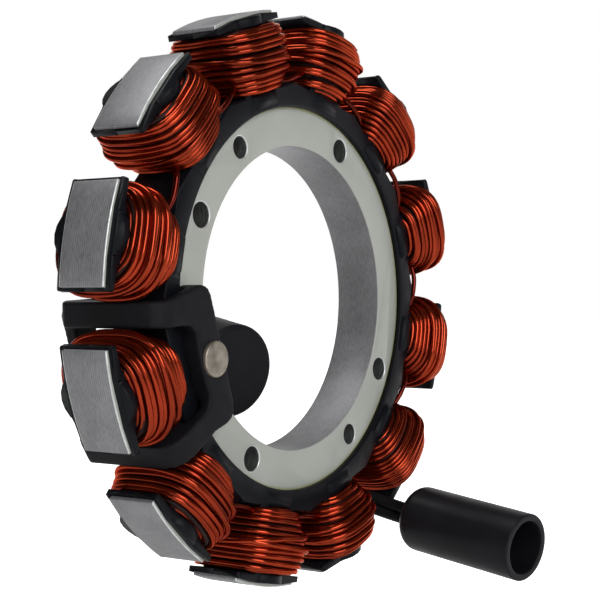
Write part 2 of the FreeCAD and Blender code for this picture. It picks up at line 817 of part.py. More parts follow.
def make_shroud():
    shroud = new_body("connector_shroud", Placement(shroud_mouth, shroud_turn))
    back = "sizes.shroud_length"
    floor_place = "(sizes.shroud_length - sizes.shroud_back_wall)"
    socket = "(sizes.shroud_radius - sizes.shroud_wall)"
    chamfer = "sizes.shroud_back_chamfer"
    sketch = new_sketch(shroud, "shroud_outline", "XY_Plane")
    add_outline(
        sketch,
        "shroud",
        [
            ("0", socket),
            ("0", "sizes.shroud_radius"),
            (f"{back} - {chamfer}", "sizes.shroud_radius"),
            (back, f"sizes.shroud_radius - {chamfer}"),
            (back, "0"),
            (floor_place, "0"),
            (floor_place, socket),
        ],
    )
    revolve(shroud, sketch, "shroud")
    hole_radius = "sizes.lead_radius + sizes.lead_clearance"
    for name, side in (("upper", ""), ("lower", "-")):
        hole_sketch = new_sketch(shroud, f"{name}_lead_hole_outline", "YZ_Plane", back)
        add_circle(hole_sketch, name, hole_radius, "0", f"{side}sizes.lead_spread")
        hole = shroud.newObject("PartDesign::Pocket", f"{name}_lead_hole")
        hole.Profile = hole_sketch
        hole.setExpression("Length", "sizes.shroud_back_wall")
        shroud.Tip = hole
    pieces.append(shroud)


def lead_axis(side, depth):
    """Place a point on the axis of one lead's hole, by its depth from the shroud's mouth."""
    return shroud_mouth + shroud_turn.multVec(Vector(depth, 0, side * size("lead_spread")))


def make_contact(label, side):
    root = size("shroud_length") - size("lead_depth")
    path = [lead_axis(side, root), lead_axis(side, root - size("contact_length"))]
    pieces.append(new_solid(label, bar(path, size("contact_radius"), size("lead_sides"))))


def make_lead(label, side):
    angle = pole_angle(size("lead_slot"))
    radius = size("flange_seat") - size("lead_flange_setback")
    setback = size("lead_turn_setback")
    shift = Vector(0, 0, side * size("lead_spread"))
    slot_front = spoke(angle, radius, 0, front_face + setback) + shift
    slot_rear = spoke(angle, radius, 0, -setback) + shift
    inner, outer = coil_span()
    half_slot = math.radians(pole_pitch / 2)
    place = radius * math.cos(half_slot)
    half_width = coil_crest((place - inner) / (outer - inner))[0]
    clear = half_width + size("lead_radius") + size("lead_end_clearance")
    end_offset = (radius * math.sin(half_slot) - clear) / math.cos(half_slot)
    travel = end_offset - size("lead_spread") * math.cos(math.radians(angle))
    rearward = travel / math.tan(math.radians(size("lead_turn_angle")))
    path = [
        lead_axis(side, size("shroud_length") - size("lead_depth")),
        lead_axis(side, size("shroud_length") + size("lead_straight")),
        slot_front,
        slot_rear,
        slot_rear + spoke(angle, 0, side * travel, rearward),
    ]
    pieces.append(new_solid(label, bar(eased(path), size("lead_radius"), size("lead_sides"))))


make_core()
make_insulator("insulator_front", on_front_face)
make_insulator("insulator_rear", Placement(Vector(0, 0, 0), ring_turn * Rotation(Vector(1, 0, 0), 180)))
make_coils()
make_crossings()
make_clip()
make_rivet()
make_boot()
make_shroud()
for label, side in (("upper", 1), ("lower", -1)):
    make_contact(f"{label}_contact", side)
    make_lead(f"{label}_lead", side)

# Check and write
doc.recompute()
for item in doc.Objects:
    if "Invalid" in item.State or "Error" in item.State:
        raise RuntimeError(f"{item.Name} failed: {item.State}")
os.makedirs("parts", exist_ok=True)
for piece in pieces:
    if piece.Shape.isNull() or not piece.Shape.isValid():
        raise RuntimeError(f"{piece.Label} has no valid shape")
    piece.Shape.exportStep(f"parts/{piece.Label}.step")
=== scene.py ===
"""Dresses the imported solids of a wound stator: wound wire, moulded edges, rubber, steel and a studio."""
import math
import random

import bmesh
import bpy
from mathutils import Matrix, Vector


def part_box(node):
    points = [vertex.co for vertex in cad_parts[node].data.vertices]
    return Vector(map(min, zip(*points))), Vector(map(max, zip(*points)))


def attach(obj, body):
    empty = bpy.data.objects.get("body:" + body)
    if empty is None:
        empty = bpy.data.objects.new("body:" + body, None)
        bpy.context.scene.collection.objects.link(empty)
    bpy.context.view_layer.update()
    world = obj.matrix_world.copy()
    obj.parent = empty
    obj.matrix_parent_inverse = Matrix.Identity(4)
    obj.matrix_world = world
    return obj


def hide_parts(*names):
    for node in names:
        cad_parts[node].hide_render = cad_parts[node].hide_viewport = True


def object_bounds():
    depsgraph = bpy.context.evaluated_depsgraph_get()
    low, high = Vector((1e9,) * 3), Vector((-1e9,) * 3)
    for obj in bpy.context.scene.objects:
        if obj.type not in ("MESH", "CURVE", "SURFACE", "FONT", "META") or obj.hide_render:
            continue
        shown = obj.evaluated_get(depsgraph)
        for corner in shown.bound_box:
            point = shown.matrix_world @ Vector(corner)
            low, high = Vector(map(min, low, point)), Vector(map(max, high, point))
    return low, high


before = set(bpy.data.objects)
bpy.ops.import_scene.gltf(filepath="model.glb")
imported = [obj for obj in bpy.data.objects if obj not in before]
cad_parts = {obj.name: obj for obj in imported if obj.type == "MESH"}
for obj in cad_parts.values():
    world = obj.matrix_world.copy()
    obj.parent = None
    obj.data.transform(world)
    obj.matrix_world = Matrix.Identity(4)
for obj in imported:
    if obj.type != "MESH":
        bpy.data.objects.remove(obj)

bl_info = {
    "name": "Wound stator",
    "version": (1, 0, 0),
    "blender": (4, 5, 0),
    "location": "View3D > Sidebar > Stator",
    "description": "Dresses the solids of a wound stator and lights them",
    "category": "Object",
}

MM = 0.001
SOLID_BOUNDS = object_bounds()

# The stack of sheets and its poles, in metres, with the bore along Y and the front towards -Y
core_low, core_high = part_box("core_stack")
FRONT_FACE = core_low.y
REAR_FACE = core_high.y
STACK = REAR_FACE - FRONT_FACE
MIDDLE = (FRONT_FACE + REAR_FACE) / 2
POLE_COUNT = sum(name.startswith("coil_") and name[5:].isdigit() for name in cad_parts)
POLE_PITCH = math.tau / POLE_COUNT
POLE_TIP = 63.45 * MM
FIRST_POLE_ANGLE = math.radians(18.5)
# Poles from the first one to the one that the lead clip surrounds
CLIP_POLE = POLE_COUNT // 2
# A slot has the number halfway between those of its poles, clockwise from the clip's pole
LEAD_SLOT = 8.5
FREE_SLOTS = (0.5, LEAD_SLOT, POLE_COUNT - 0.5)

# The band of the ring that holds the drilled holes, and the width of the band of bare steel at the poles'
# tips, whose pale colour is partly a painted highlight
HOLES_INNER = 34.6 * MM
HOLES_OUTER = 41.6 * MM
TIP_BAND = 1.2 * MM
# How squarely a face of the core looks to the front or rear, from 0 to 1, where its finish changes
FLAT = 0.97
NEARLY_FLAT = 0.9
BROKEN_EDGE = 0.2
# Material slots of the core; the bare rims' pale colour is partly a painted highlight, and the drilled walls'
# dark colour is partly painted shade
COATED, GROUND, BARE_WITH_HIGHLIGHT, DRILLED_WITH_SHADE = range(4)
# Radii over which the ring's coat thins out and becomes whole again, and how far the first of them waver
THIN_COAT_START = (42.1 * MM, 42.6 * MM)
THIN_COAT_END = (43.5 * MM, 44.5 * MM)
THIN_COAT_WAVER = 0.7 * MM
THIN_COAT_SHARE = 0.7
THIN_COAT_COLOUR = (0.33, 0.33, 0.13, 1)

# The insulators' flanges under the poles' tips, their cover on the core, and the half-moon tabs
FLANGE_SEAT = 60.6 * MM
FLANGE_HALF = 11.1 * MM
# Roundness of the flanges' edges as a share of that of their corners
FLANGE_EDGE_SHARE = 0.35
COVER = 1.3 * MM
TAB_THICKNESS = 1.9 * MM
TAB_CHORD = 9.0 * MM
TAB_HEIGHT = 1.9 * MM
TAB_EDGE = 0.3 * MM

# The coils' form, which their turns follow
COIL_INNER = 46.4 * MM
COIL_OUTER = 60.5 * MM
COIL_REACH = COIL_OUTER - COIL_INNER
COIL_INNER_GAP = 4.9 * MM
COIL_OUTER_GAP = 6.2 * MM
COIL_WIDTH_BULGE = 2.2 * MM
COIL_INNER_OVERHANG = 4.2 * MM
COIL_OUTER_OVERHANG = 4.4 * MM
COIL_OVERHANG_BULGE = 1.9 * MM
COIL_CREST_SHARE = 0.65
COIL_FULLNESS = 0.8
# The roundness of a turn seen along its pole: 2 is an ellipse, more is squarer
TURN_SQUARENESS = 2.9
# How deep under the coil's surface the first and last turns lie, beside the pole's neck and the flange
COIL_ROOT_DEPTH = 2.1 * MM
COIL_END_DEPTH = 2.2 * MM
INNER_ROOT_DEPTH = 0.4 * COIL_ROOT_DEPTH
# How far turns bunch and slant, as shares of a turn, and how much of that shows
BUNCHING = 0.4
SLANT = 0.25
LOOSENESS = 0.7
# Share of a turn by which the first and last turns press against the ends of their layer
END_PRESS = 0.35
# Depths under the coil's surface, in radii of the wire
STAGGER_DEPTH = 0.6
INNER_LAYER_DEPTH = 1.7
HEART_DEPTH = 3.6
# Steps between the noises that two coils follow
COIL_NOISE_STEP = 10

# The wires that cross the slots, with their least and most slant in millimetres
CROSSING_RADIUS = 48.9 * MM
CROSSING_LIFT = 1.0 * MM
CROSSING_REACH = 4.6 * MM
CROSSING_DIP = 0.8 * MM
CROSSING_SLANT = (0.4, 1.1)
# Points of a crossing wire, as shares of its slant, its reach and its dip
CROSSING_PATH = ((-1, -1, 1), (-0.5, -0.4, 0), (0.5, 0.4, 0), (1, 1, 1))

# The lead clip, the cells that its edges melt in, and the rivet through its plate
CLIP_THICKNESS = 5.0 * MM
CLIP_CELL = 0.4 * MM
BAND_INNER = 43.0 * MM
BAND_THICKNESS = 3.0 * MM
RIVET_PLACE = 38.2 * MM
RIVET_RADIUS = 2.0 * MM
RIVET_HEAD_RADIUS = 3.7 * MM
RIVET_TAIL_RADIUS = 3.3 * MM
RIVET_EDGE = 0.4 * MM
# The rivet's crown, with its share of the head, its dimple, and how far the head falls away round it
RIVET_CROWN_SHARE = 0.3
RIVET_DIMPLE = 0.02 * MM
RIVET_FALL = 0.05 * MM
RIVET_EDGE_FALL = 0.08 * MM

# The rubber boot, which leans across and up by two angles in degrees
BOOT_FACE = Vector((-3.45, 3.4, -16.65)) * MM
BOOT_LEAN = (14.0, 9.8)
BOOT_RADIUS = 10.8 * MM
BOOT_LENGTH = 25.0 * MM
BOOT_NECK_RADIUS = 2.8 * MM
BOOT_NECK_HEIGHT = 3.5 * MM
BOOT_NECK_STRAIGHT = 9.0 * MM

# The connector's shroud with its leads and contacts
SHROUD_MOUTH = Vector((28.4, -53.5, -55.4)) * MM
SHROUD_LEAN = (8.3, 6.8)
SHROUD_RADIUS = 7.6 * MM
SHROUD_LENGTH = 31.9 * MM
SHROUD_WALL = 1.65 * MM
SHROUD_BACK_WALL = 7.0 * MM
SHROUD_LIP = 0.35 * MM
LEAD_SPREAD = 1.35 * MM
LEAD_RADIUS = 1.32 * MM
LEAD_DEPTH = 5.0 * MM
LEAD_STRAIGHT = 4.0 * MM
LEAD_SLOT_RADIUS = 58.55 * MM
LEAD_SETBACK = 3.5 * MM
LEAD_END_OFFSET = 3.3 * MM
LEAD_END_ANGLE = math.radians(60)
CONTACT_RADIUS = 0.9 * MM
CONTACT_LENGTH = 7.0 * MM
CONTACT_EDGE = 0.5 * MM
# The upper and the lower lead and contact, by the side of the axis on which each lies
SIDES = {"upper": 1, "lower": -1}

# How near points merge, how near a place counts as on a face, and what counts as a short edge
MERGE_DISTANCE = 0.002 * MM
NEARNESS = 0.1 * MM
SHORT_EDGE = 1.2 * MM
# Least angles between faces that keep them apart, show as an edge, and call for rounding
FLAT_ANGLE = math.radians(0.6)
SMOOTH_ANGLE = math.radians(35)
MELTED_SMOOTH_ANGLE = math.radians(60)
EDGE_ANGLE = math.radians(32)
TAB_EDGE_ANGLE = math.radians(40)

# Parts of a noise's range over which a colour and a roughness change
COLOUR_RANGE = (0.3, 0.7)
ROUGHNESS_RANGE = (0.2, 0.8)
# The wave texture's bands lie this many times closer than its scale says
WAVE_RATE = 20
# Gloss of plastic and rubber
DULL = 0.12

# The photograph's camera
CAMERA_PLACE = Vector((-264.8, -197.1, 0.3)) * MM
CAMERA_FORWARD = Vector((0.82, 0.573, -0.002))
CAMERA_LENS = 87.14
CAMERA_SENSOR = 36.0
CAMERA_NEAR = 0.01
CAMERA_FAR = 20

# The floor is whitened less than the rest within the first of these distances, and fully from the second
FLOOR_SHADOW_RANGE = (0.14, 0.28)
FLOOR_SHADOW_LEVEL = 0.35
# Where the studio goes from dim to white in metal: on the floor by the distance beyond the bore's centre,
# all round by the cosine of the angle from the camera's direction
FLOOR_DIM_RANGE = (0.05, 0.35)
WORLD_DIM_RANGE = (0.55, 0.95)
# Place and width of each lamp
LAMPS = {
    "key": ((-0.5, -0.95, 0.45), 0.8),
    "fill": ((0.9, -0.6, 0.3), 0.6),
    "top": ((-0.2, 0.3, 1.0), 0.5),
}


def pole_angle(number):
    """Angle of a pole or slot, counted clockwise from the pole that the lead clip surrounds."""
    return FIRST_POLE_ANGLE + (CLIP_POLE - number) * POLE_PITCH


def spoke(angle, radius, sideways, forward):
    """A point by its radius along a spoke, its offset across the spoke and its place along Y."""
    return Vector(
        (
            radius * math.cos(angle) - sideways * math.sin(angle),
            forward,
            radius * math.sin(angle) + sideways * math.cos(angle),
        )
    )


def leaning(angles):
    """Direction towards the rear that leans across and up by two angles in degrees."""
    across, up = (math.tan(math.radians(angle)) for angle in angles)
    return Vector((across, 1, up)).normalized()


# Mesh helpers


def object_from(name, mesh):
    """Put a mesh in the scene as an object."""
    piece = bpy.data.objects.new(name, mesh)
    bpy.context.scene.collection.objects.link(piece)
    return piece


def applied(piece):
    """Turn what the modifiers of a piece make into its plain mesh."""
    bpy.context.view_layer.update()
    depsgraph = bpy.context.evaluated_depsgraph_get()
    mesh = bpy.data.meshes.new_from_object(piece.evaluated_get(depsgraph), depsgraph=depsgraph)
    if not mesh.polygons:
        raise RuntimeError(f"{piece.name} came out empty")
    piece.modifiers.clear()
    old = piece.data
    piece.data = mesh
    mesh.name = piece.name
    bpy.data.meshes.remove(old)
    return piece


def smoothed(mesh, angle=SMOOTH_ANGLE):
    """Shade a mesh smooth, except where its faces meet at more than an angle."""
    mesh.shade_smooth()
    mesh.set_sharp_from_angle(angle=angle)


def mesh_from(shell, name, closed=True):
    """Keep a shell of faces as a mesh, with the faces of a closed one pointing outwards."""
    if closed:
        bmesh.ops.recalc_face_normals(shell, faces=shell.faces)
    mesh = bpy.data.meshes.new(name)
    shell.to_mesh(mesh)
    shell.free()
    return mesh


def bridge(shell, near, far):
    """Join two rings of points with faces; a ring may be a single point."""
    steps = max(len(near), len(far))
    for step in range(steps):
        after = (step + 1) % steps
        places = ((near, step), (near, after), (far, after), (far, step))
        corners = list(dict.fromkeys(ring[place % len(ring)] for ring, place in places))
        if len(corners) > 2:
            shell.faces.new(corners)


def joined(name, pieces, finishes):
    """Make one piece of several, each with the finish of its own number, or with the last one."""
    shell = bmesh.new()
    for number, piece in enumerate(pieces):
        before = len(shell.faces)
        shell.from_mesh(piece.data)
        shell.faces.ensure_lookup_table()
        for face in shell.faces[before:]:
            face.material_index = min(number, len(finishes) - 1)
        bpy.data.objects.remove(piece)
    mesh = mesh_from(shell, name, closed=False)
    for finish in finishes:
        mesh.materials.append(finish)
    return object_from(name, mesh)


def merged_solid(node):
    """Copy a solid's mesh, and merge its loose triangles in a shell."""
    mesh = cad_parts[node].data.copy()
    mesh.materials.clear()
    shell = bmesh.new()
    shell.from_mesh(mesh)
    bmesh.ops.remove_doubles(shell, verts=shell.verts, dist=MERGE_DISTANCE)
    return mesh, shell


def softened(node, name, width, segments=2, weigh=None):
    """Copy a solid with its edges rounded, all alike or each by its own weight."""
    mesh, shell = merged_solid(node)
    if weigh:
        weights = shell.edges.layers.float.new("bevel_weight_edge")
        for edge in shell.edges:
            if edge.is_manifold and edge.calc_face_angle(0) > EDGE_ANGLE:
                edge[weights] = weigh(edge)
    else:
        bmesh.ops.dissolve_limit(shell, angle_limit=FLAT_ANGLE, verts=shell.verts, edges=shell.edges)
    shell.to_mesh(mesh)
    shell.free()
    piece = object_from(name, mesh)
    bevel = piece.modifiers.new("Rounded edges", "BEVEL")
    bevel.width = width
    bevel.segments = segments
    bevel.limit_method = "WEIGHT" if weigh else "ANGLE"
    bevel.angle_limit = EDGE_ANGLE
    bevel.use_clamp_overlap = not weigh
    bevel.miter_outer = "MITER_ARC"
    applied(piece)
    smoothed(piece.data)
    return piece


def melted(node, name, cell, rounds):
    """Copy a solid as small even faces and let its edges melt round."""
    mesh, shell = merged_solid(node)
    shell.to_mesh(mesh)
    shell.free()
    piece = object_from(name, mesh)
    even = piece.modifiers.new("Even faces", "REMESH")
    even.mode = "VOXEL"
    even.voxel_size = cell
    soft = piece.modifiers.new("Soft edges", "SMOOTH")
    soft.iterations = rounds
    applied(piece)
    smoothed(piece.data, MELTED_SMOOTH_ANGLE)
    return piece


def turned(name, profile, start, axis, finish, steps=48):
    """Turn a profile of (distance along the axis, radius) pairs; radii of 0 close its ends."""
    tilt = axis.to_track_quat("Z", "Y")
    shell = bmesh.new()
    rings = []
    for distance, radius in profile:
        ring = []
        for step in range(steps if radius else 1):
            angle = math.tau * step / steps
            offset = tilt @ Vector((radius * math.cos(angle), radius * math.sin(angle), distance))
            ring.append(shell.verts.new(start + offset))
        rings.append(ring)
    for near, far in zip(rings, rings[1:]):
        bridge(shell, near, far)
    mesh = mesh_from(shell, name)
    mesh.materials.append(finish)
    smoothed(mesh)
    return object_from(name, mesh)


def rounded(corner, radius, start, end, steps=5):
    """Points of a round edge about a centre, from one angle to another in degrees."""
    points = []
    for step in range(steps + 1):
        angle = math.radians(start + (end - start) * step / steps)
        points.append((corner[0] + radius * math.cos(angle), corner[1] + radius * math.sin(angle)))
    return points


def curved(points, per_run=12):
    """Points along a smooth curve that passes through each given point."""
    ends = [points[0] * 2 - points[1], *points, points[-1] * 2 - points[-2]]
    line = []
    for before, here, after, beyond in zip(ends, ends[1:], ends[2:], ends[3:]):
        for step in range(per_run):
            t = step / per_run
            pull = (after - before) * t
            bend = (before * 2 - here * 5 + after * 4 - beyond) * t**2
            twist = (here * 3 - before - after * 3 + beyond) * t**3
            line.append((here * 2 + pull + bend + twist) / 2)
    return [*line, points[-1]]


def line_mesh(name, lines):
    """Mesh of bare edges along several lines."""
    points, edges = [], []
    for line in lines:
        first = len(points)
        points.extend(line)
        edges.extend((first + step, first + step + 1) for step in range(len(line) - 1))
    mesh = bpy.data.meshes.new(name)
    mesh.from_pydata(points, edges, [])
    return mesh


# Node helpers


def feed(tree, socket, value):
    """Link another node's output to a socket, or set the socket to a value."""
    if isinstance(value, bpy.types.NodeSocket):
        tree.links.new(value, socket)
    else:
        socket.default_value = value


def add_node(tree, kind, inputs=None, **options):
    """Add a node, set its properties, and set or link its inputs by name or number."""
    node = tree.nodes.new(kind)
    for name, value in options.items():
        setattr(node, name, value)
    for key, value in (inputs or {}).items():
        feed(tree, node.inputs[key], value)
    return node


def calculated(tree, operation, *values):
    """Result of a sum on numbers."""
    return add_node(tree, "ShaderNodeMath", dict(enumerate(values)), operation=operation).outputs[0]


def measured(tree, operation, *vectors):
    """Number that comes out of one or two vectors."""
    node = add_node(tree, "ShaderNodeVectorMath", dict(enumerate(vectors)), operation=operation)
    return node.outputs["Value"]


def ranged(tree, value, across, levels, smooth=False):
    """Number that goes from one level to another while a value crosses a range."""
    names = ("Value", "From Min", "From Max", "To Min", "To Max")
    inputs = dict(zip(names, (value, *across, *levels)))
    kind = "SMOOTHSTEP" if smooth else "LINEAR"
    return add_node(tree, "ShaderNodeMapRange", inputs, interpolation_type=kind).outputs[0]


def mixed(tree, factor, first, second, kind="FLOAT"):
    """Number or colour between two others."""
    inputs = {"Factor": factor, "A": first, "B": second}
    return add_node(tree, "ShaderNodeMix", inputs, data_type=kind).outputs["Result"]


def new_tree(name, sockets):
    """Start a geometry tree with its group's inputs given as (name, type, default)."""
    tree = bpy.data.node_groups.new(name, "GeometryNodeTree")
    tree.interface.new_socket("Geometry", in_out="INPUT", socket_type="NodeSocketGeometry")
    for label, kind, default in sockets:
        socket = tree.interface.new_socket(label, in_out="INPUT", socket_type=f"NodeSocket{kind}")
        if default is not None:
            socket.default_value = default
    tree.interface.new_socket("Geometry", in_out="OUTPUT", socket_type="NodeSocketGeometry")
    return tree, tree.nodes.new("NodeGroupInput").outputs


def passed(tree, geometry, kind, inputs=None):
    """Pass geometry through a node and take what comes out."""
    return add_node(tree, kind, {0: geometry, **(inputs or {})}).outputs[0]


def end_tree(tree, geometry, finish):
    """End a geometry tree with real geometry that wears one finish."""
    real = passed(tree, geometry, "GeometryNodeRealizeInstances")
    dressed = passed(tree, real, "GeometryNodeSetMaterial", {"Material": finish})
    tree.links.new(dressed, tree.nodes.new("NodeGroupOutput").inputs[0])
    return tree


def grown(piece, tree, **values):
    """Run a geometry tree on a piece with its inputs given by name, and keep the result as a mesh."""
    modifier = piece.modifiers.new(tree.name, "NODES")
    modifier.node_group = tree
    for item in tree.interface.items_tree:
        key = item.name.replace(" ", "_").lower()
        if item.item_type == "SOCKET" and item.in_out == "INPUT" and key in values:
            modifier[item.identifier] = values[key]
    return applied(piece)


def wire_tree():
    """Tree that lays round wire along a line, lets it wander a little and keeps the length along it."""
    tree, given = new_tree(
        "Laid wire",
        [
            ("Wire Radius", "Float", 0.6 * MM),
            ("Sides", "Int", 8),
            ("Wander", "Float", 0.0),
            ("Wander Length", "Float", 20 * MM),
            ("Wander Direction", "Vector", None),
            ("Seed", "Float", 1.0),
            ("Finish", "Material", None),
        ],
    )
    line = passed(tree, given["Geometry"], "GeometryNodeMeshToCurve")
    along = add_node(tree, "GeometryNodeSplineParameter").outputs["Length"]
    place = calculated(tree, "ADD", calculated(tree, "DIVIDE", along, given["Wander Length"]), given["Seed"])
    noise = add_node(tree, "ShaderNodeTexNoise", {"W": place, "Scale": 1.0}, noise_dimensions="1D")
    centred = calculated(tree, "SUBTRACT", noise.outputs[0], 0.5)
    amount = calculated(tree, "MULTIPLY", centred, given["Wander"])
    shift = {0: given["Wander Direction"], "Scale": amount}
    offset = add_node(tree, "ShaderNodeVectorMath", shift, operation="SCALE").outputs[0]
    line = passed(tree, line, "GeometryNodeSetPosition", {"Offset": offset})
    line = passed(tree, line, "GeometryNodeStoreNamedAttribute", {"Name": "along", "Value": along})
    circle = {"Resolution": given["Sides"], "Radius": given["Wire Radius"]}
    section = add_node(tree, "GeometryNodeCurvePrimitiveCircle", circle).outputs[0]
    wire = passed(tree, line, "GeometryNodeCurveToMesh", {"Profile Curve": section, "Fill Caps": True})
    wire = passed(tree, wire, "GeometryNodeSetShadeSmooth")
    return end_tree(tree, wire, given["Finish"])


def ring_tree():
    """Tree that repeats a form evenly round the bore's axis."""
    sockets = [("Count", "Int", 12), ("First Angle", "Float", 0.0), ("Finish", "Material", None)]
    tree, given = new_tree("Round the bore", sockets)
    spots = add_node(tree, "GeometryNodePoints", {"Count": given["Count"]}).outputs[0]
    number = add_node(tree, "GeometryNodeInputIndex").outputs[0]
    pitch = calculated(tree, "DIVIDE", math.tau, given["Count"])
    turn = calculated(tree, "MULTIPLY_ADD", number, pitch, given["First Angle"])
    turned_back = calculated(tree, "MULTIPLY", turn, -1.0)
    angles = add_node(tree, "ShaderNodeCombineXYZ", {"Y": turned_back}).outputs[0]
    copied = {"Instance": given["Geometry"], "Rotation": angles}
    copies = passed(tree, spots, "GeometryNodeInstanceOnPoints", copied)
    return end_tree(tree, copies, given["Finish"])


# Finishes


class Finish:
    """A material in the making: its nodes, its shader and the place of each point on the object."""

    def __init__(self, name, colour, metallic, roughness):
        self.material = bpy.data.materials.new(name)
        self.material.use_nodes = True
        self.material.diffuse_color = (*colour, 1)
        self.colour = tuple(colour)
        self.tree = self.material.node_tree
        self.shader = next(node for node in self.tree.nodes if node.type == "BSDF_PRINCIPLED")
        self.place = add_node(self.tree, "ShaderNodeTexCoord").outputs["Object"]
        self.give("Base Color", (*colour, 1))
        self.give("Metallic", metallic)
        self.give("Roughness", roughness)

    def give(self, name, value):
        """Set or link an input of the shader."""
        feed(self.tree, self.shader.inputs[name], value)

    def noise(self, scale, detail=3.0, stretch=(1, 1, 1)):
        """Noise over the object, with features about one part in scale of a metre."""
        mapping = add_node(self.tree, "ShaderNodeMapping", {"Vector": self.place, "Scale": stretch})
        inputs = {"Vector": mapping.outputs[0], "Scale": scale, "Detail": detail}
        return add_node(self.tree, "ShaderNodeTexNoise", inputs).outputs[0]

    def tones(self, factor, darker, lighter):
        """Colour that runs with a factor from a darker to a lighter tone of the finish's own colour."""
        ramp = add_node(self.tree, "ShaderNodeValToRGB", {"Fac": factor})
        for stop, place, share in zip(ramp.color_ramp.elements, COLOUR_RANGE, (darker, lighter)):
            stop.position = place
            stop.color = (*(min(1, part * share) for part in self.colour), 1)
        return ramp.outputs[0]

    def tint(self, factor, darker, lighter):
        """Let the colour run with a factor from a darker to a lighter tone."""
        self.give("Base Color", self.tones(factor, darker, lighter))

    def roughen(self, factor, low, high):
        """Let the roughness run with a factor from low to high."""
        self.give("Roughness", ranged(self.tree, factor, ROUGHNESS_RANGE, (low, high)))

    def bump(self, height, strength, distance):
        """Let a height stand out of the surface."""
        inputs = {"Height": height, "Strength": strength, "Distance": distance}
        self.give("Normal", add_node(self.tree, "ShaderNodeBump", inputs).outputs[0])


def enamelled_copper(name, colour):
    """Copper wire under clear red enamel, its tone changing along the wire."""
    finish = Finish(name, colour, metallic=0.92, roughness=0.3)
    along = add_node(finish.tree, "ShaderNodeAttribute", attribute_name="along").outputs["Fac"]
    inputs = {"W": along, "Scale": 55.0, "Detail": 2.0}
    tone = add_node(finish.tree, "ShaderNodeTexNoise", inputs, noise_dimensions="1D").outputs[0]
    both = calculated(finish.tree, "ADD", tone, finish.noise(scale=90, detail=2))
    finish.tint(calculated(finish.tree, "MULTIPLY", both, 0.5), darker=0.4, lighter=1.35)
    finish.roughen(finish.noise(scale=700), low=0.13, high=0.25)
    finish.give("Specular IOR Level", 0.2)
    finish.give("Specular Tint", (1.0, 0.45, 0.3, 1))
    finish.give("Coat Weight", 0.12)
    finish.give("Coat Roughness", 0.15)
    finish.bump(finish.noise(scale=1500, detail=2), strength=0.12, distance=0.05 * MM)
    return finish.material


def painted_shade_copper(colour):
    """Turns of the inner layer, darkened with painted shade as if in the shade of the outer ones."""
    finish = Finish("Inner turns", colour, metallic=0.5, roughness=0.6)
    finish.tint(finish.noise(scale=500, detail=4), darker=0.4, lighter=1.2)
    finish.bump(finish.noise(scale=900, detail=2), strength=0.5, distance=0.2 * MM)
    return finish.material


def coated_steel(colour):
    """Pale grey-green coat on the outer sheets, thin and yellowish towards the insulators."""
    finish = Finish("Coated sheet steel", colour, metallic=0.15, roughness=0.5)
    tree = finish.tree
    coat = finish.tones(finish.noise(scale=60, detail=5), darker=0.94, lighter=1.05)
    parts = add_node(tree, "ShaderNodeSeparateXYZ", {"Vector": finish.place}).outputs
    flat = add_node(tree, "ShaderNodeCombineXYZ", {"X": parts["X"], "Y": parts["Z"]}).outputs[0]
    radius = measured(tree, "LENGTH", flat)
    wavering = calculated(tree, "MULTIPLY_ADD", finish.noise(scale=160), THIN_COAT_WAVER, radius)
    inside = ranged(tree, wavering, THIN_COAT_START, (0.0, THIN_COAT_SHARE), smooth=True)
    outside = ranged(tree, radius, THIN_COAT_END, (1.0, 0.0))
    thin = calculated(tree, "MULTIPLY", inside, outside)
    finish.give("Base Color", mixed(tree, thin, coat, THIN_COAT_COLOUR, "RGBA"))
    finish.roughen(finish.noise(scale=300, detail=4), low=0.42, high=0.58)
    finish.bump(finish.noise(scale=2500), strength=0.08, distance=0.05 * MM)
    return finish.material


def sheet_edges(colour, sheet):
    """Ground edges of stacked steel sheets: fine grinding marks with a faint line for each sheet."""
    finish = Finish("Ground sheet edges", colour, metallic=0.7, roughness=0.42)
    inputs = {"Vector": finish.place, "Scale": math.tau / WAVE_RATE / sheet}
    inputs |= {"Distortion": 1.5, "Detail": 3.0, "Detail Scale": 3.0}
    lines = add_node(finish.tree, "ShaderNodeTexWave", inputs, wave_type="BANDS", bands_direction="Y")
    grain = finish.noise(scale=2600, detail=4, stretch=(0.35, 1, 0.35))
    clouds = finish.noise(scale=160, detail=4)
    marks = mixed(finish.tree, factor=0.25, first=grain, second=lines.outputs["Fac"])
    clouded = mixed(finish.tree, factor=0.3, first=marks, second=clouds)
    finish.tint(clouded, darker=0.66, lighter=1.32)
    finish.roughen(grain, low=0.48, high=0.66)
    finish.bump(marks, strength=0.12, distance=0.03 * MM)
    return finish.material


def bare_rims_with_highlight(colour):
    """Bright bare steel where the sheets' edges have been broken, nicked here and there; its pale colour is
    partly a painted highlight.
    """
    finish = Finish("Bare steel rims", colour, metallic=0.6, roughness=0.3)
    finish.tint(finish.noise(scale=420, detail=5), darker=0.7, lighter=1.1)
    finish.roughen(finish.noise(scale=900, detail=4), low=0.24, high=0.42)
    finish.bump(finish.noise(scale=1300, detail=4), strength=0.25, distance=0.04 * MM)
    return finish.material


def drilled_walls_with_shade(colour):
    """Walls of the drilled holes, scored round by the drill and darkened with painted shade."""
    finish = Finish("Drilled hole walls", colour, metallic=0.5, roughness=0.6)
    scores = finish.noise(scale=500, detail=4, stretch=(0.5, 6, 0.5))
    finish.tint(scores, darker=0.5, lighter=1.6)
    finish.roughen(scores, low=0.5, high=0.7)
    finish.bump(scores, strength=0.3, distance=0.05 * MM)
    return finish.material


def moulded_plastic(name, colour, roughness, grain):
    """Dark moulded plastic with a fine grain and faint flow marks."""
    finish = Finish(name, colour, metallic=0.0, roughness=roughness)
    finish.tint(finish.noise(scale=120, detail=4), darker=0.8, lighter=1.25)
    finish.give("Specular IOR Level", DULL)
    marks = finish.noise(scale=350, detail=4, stretch=(1, 0.4, 1))
    finish.roughen(marks, low=roughness - 0.08, high=roughness + 0.1)
    finish.bump(finish.noise(scale=2600, detail=2), strength=grain, distance=0.04 * MM)
    return finish.material


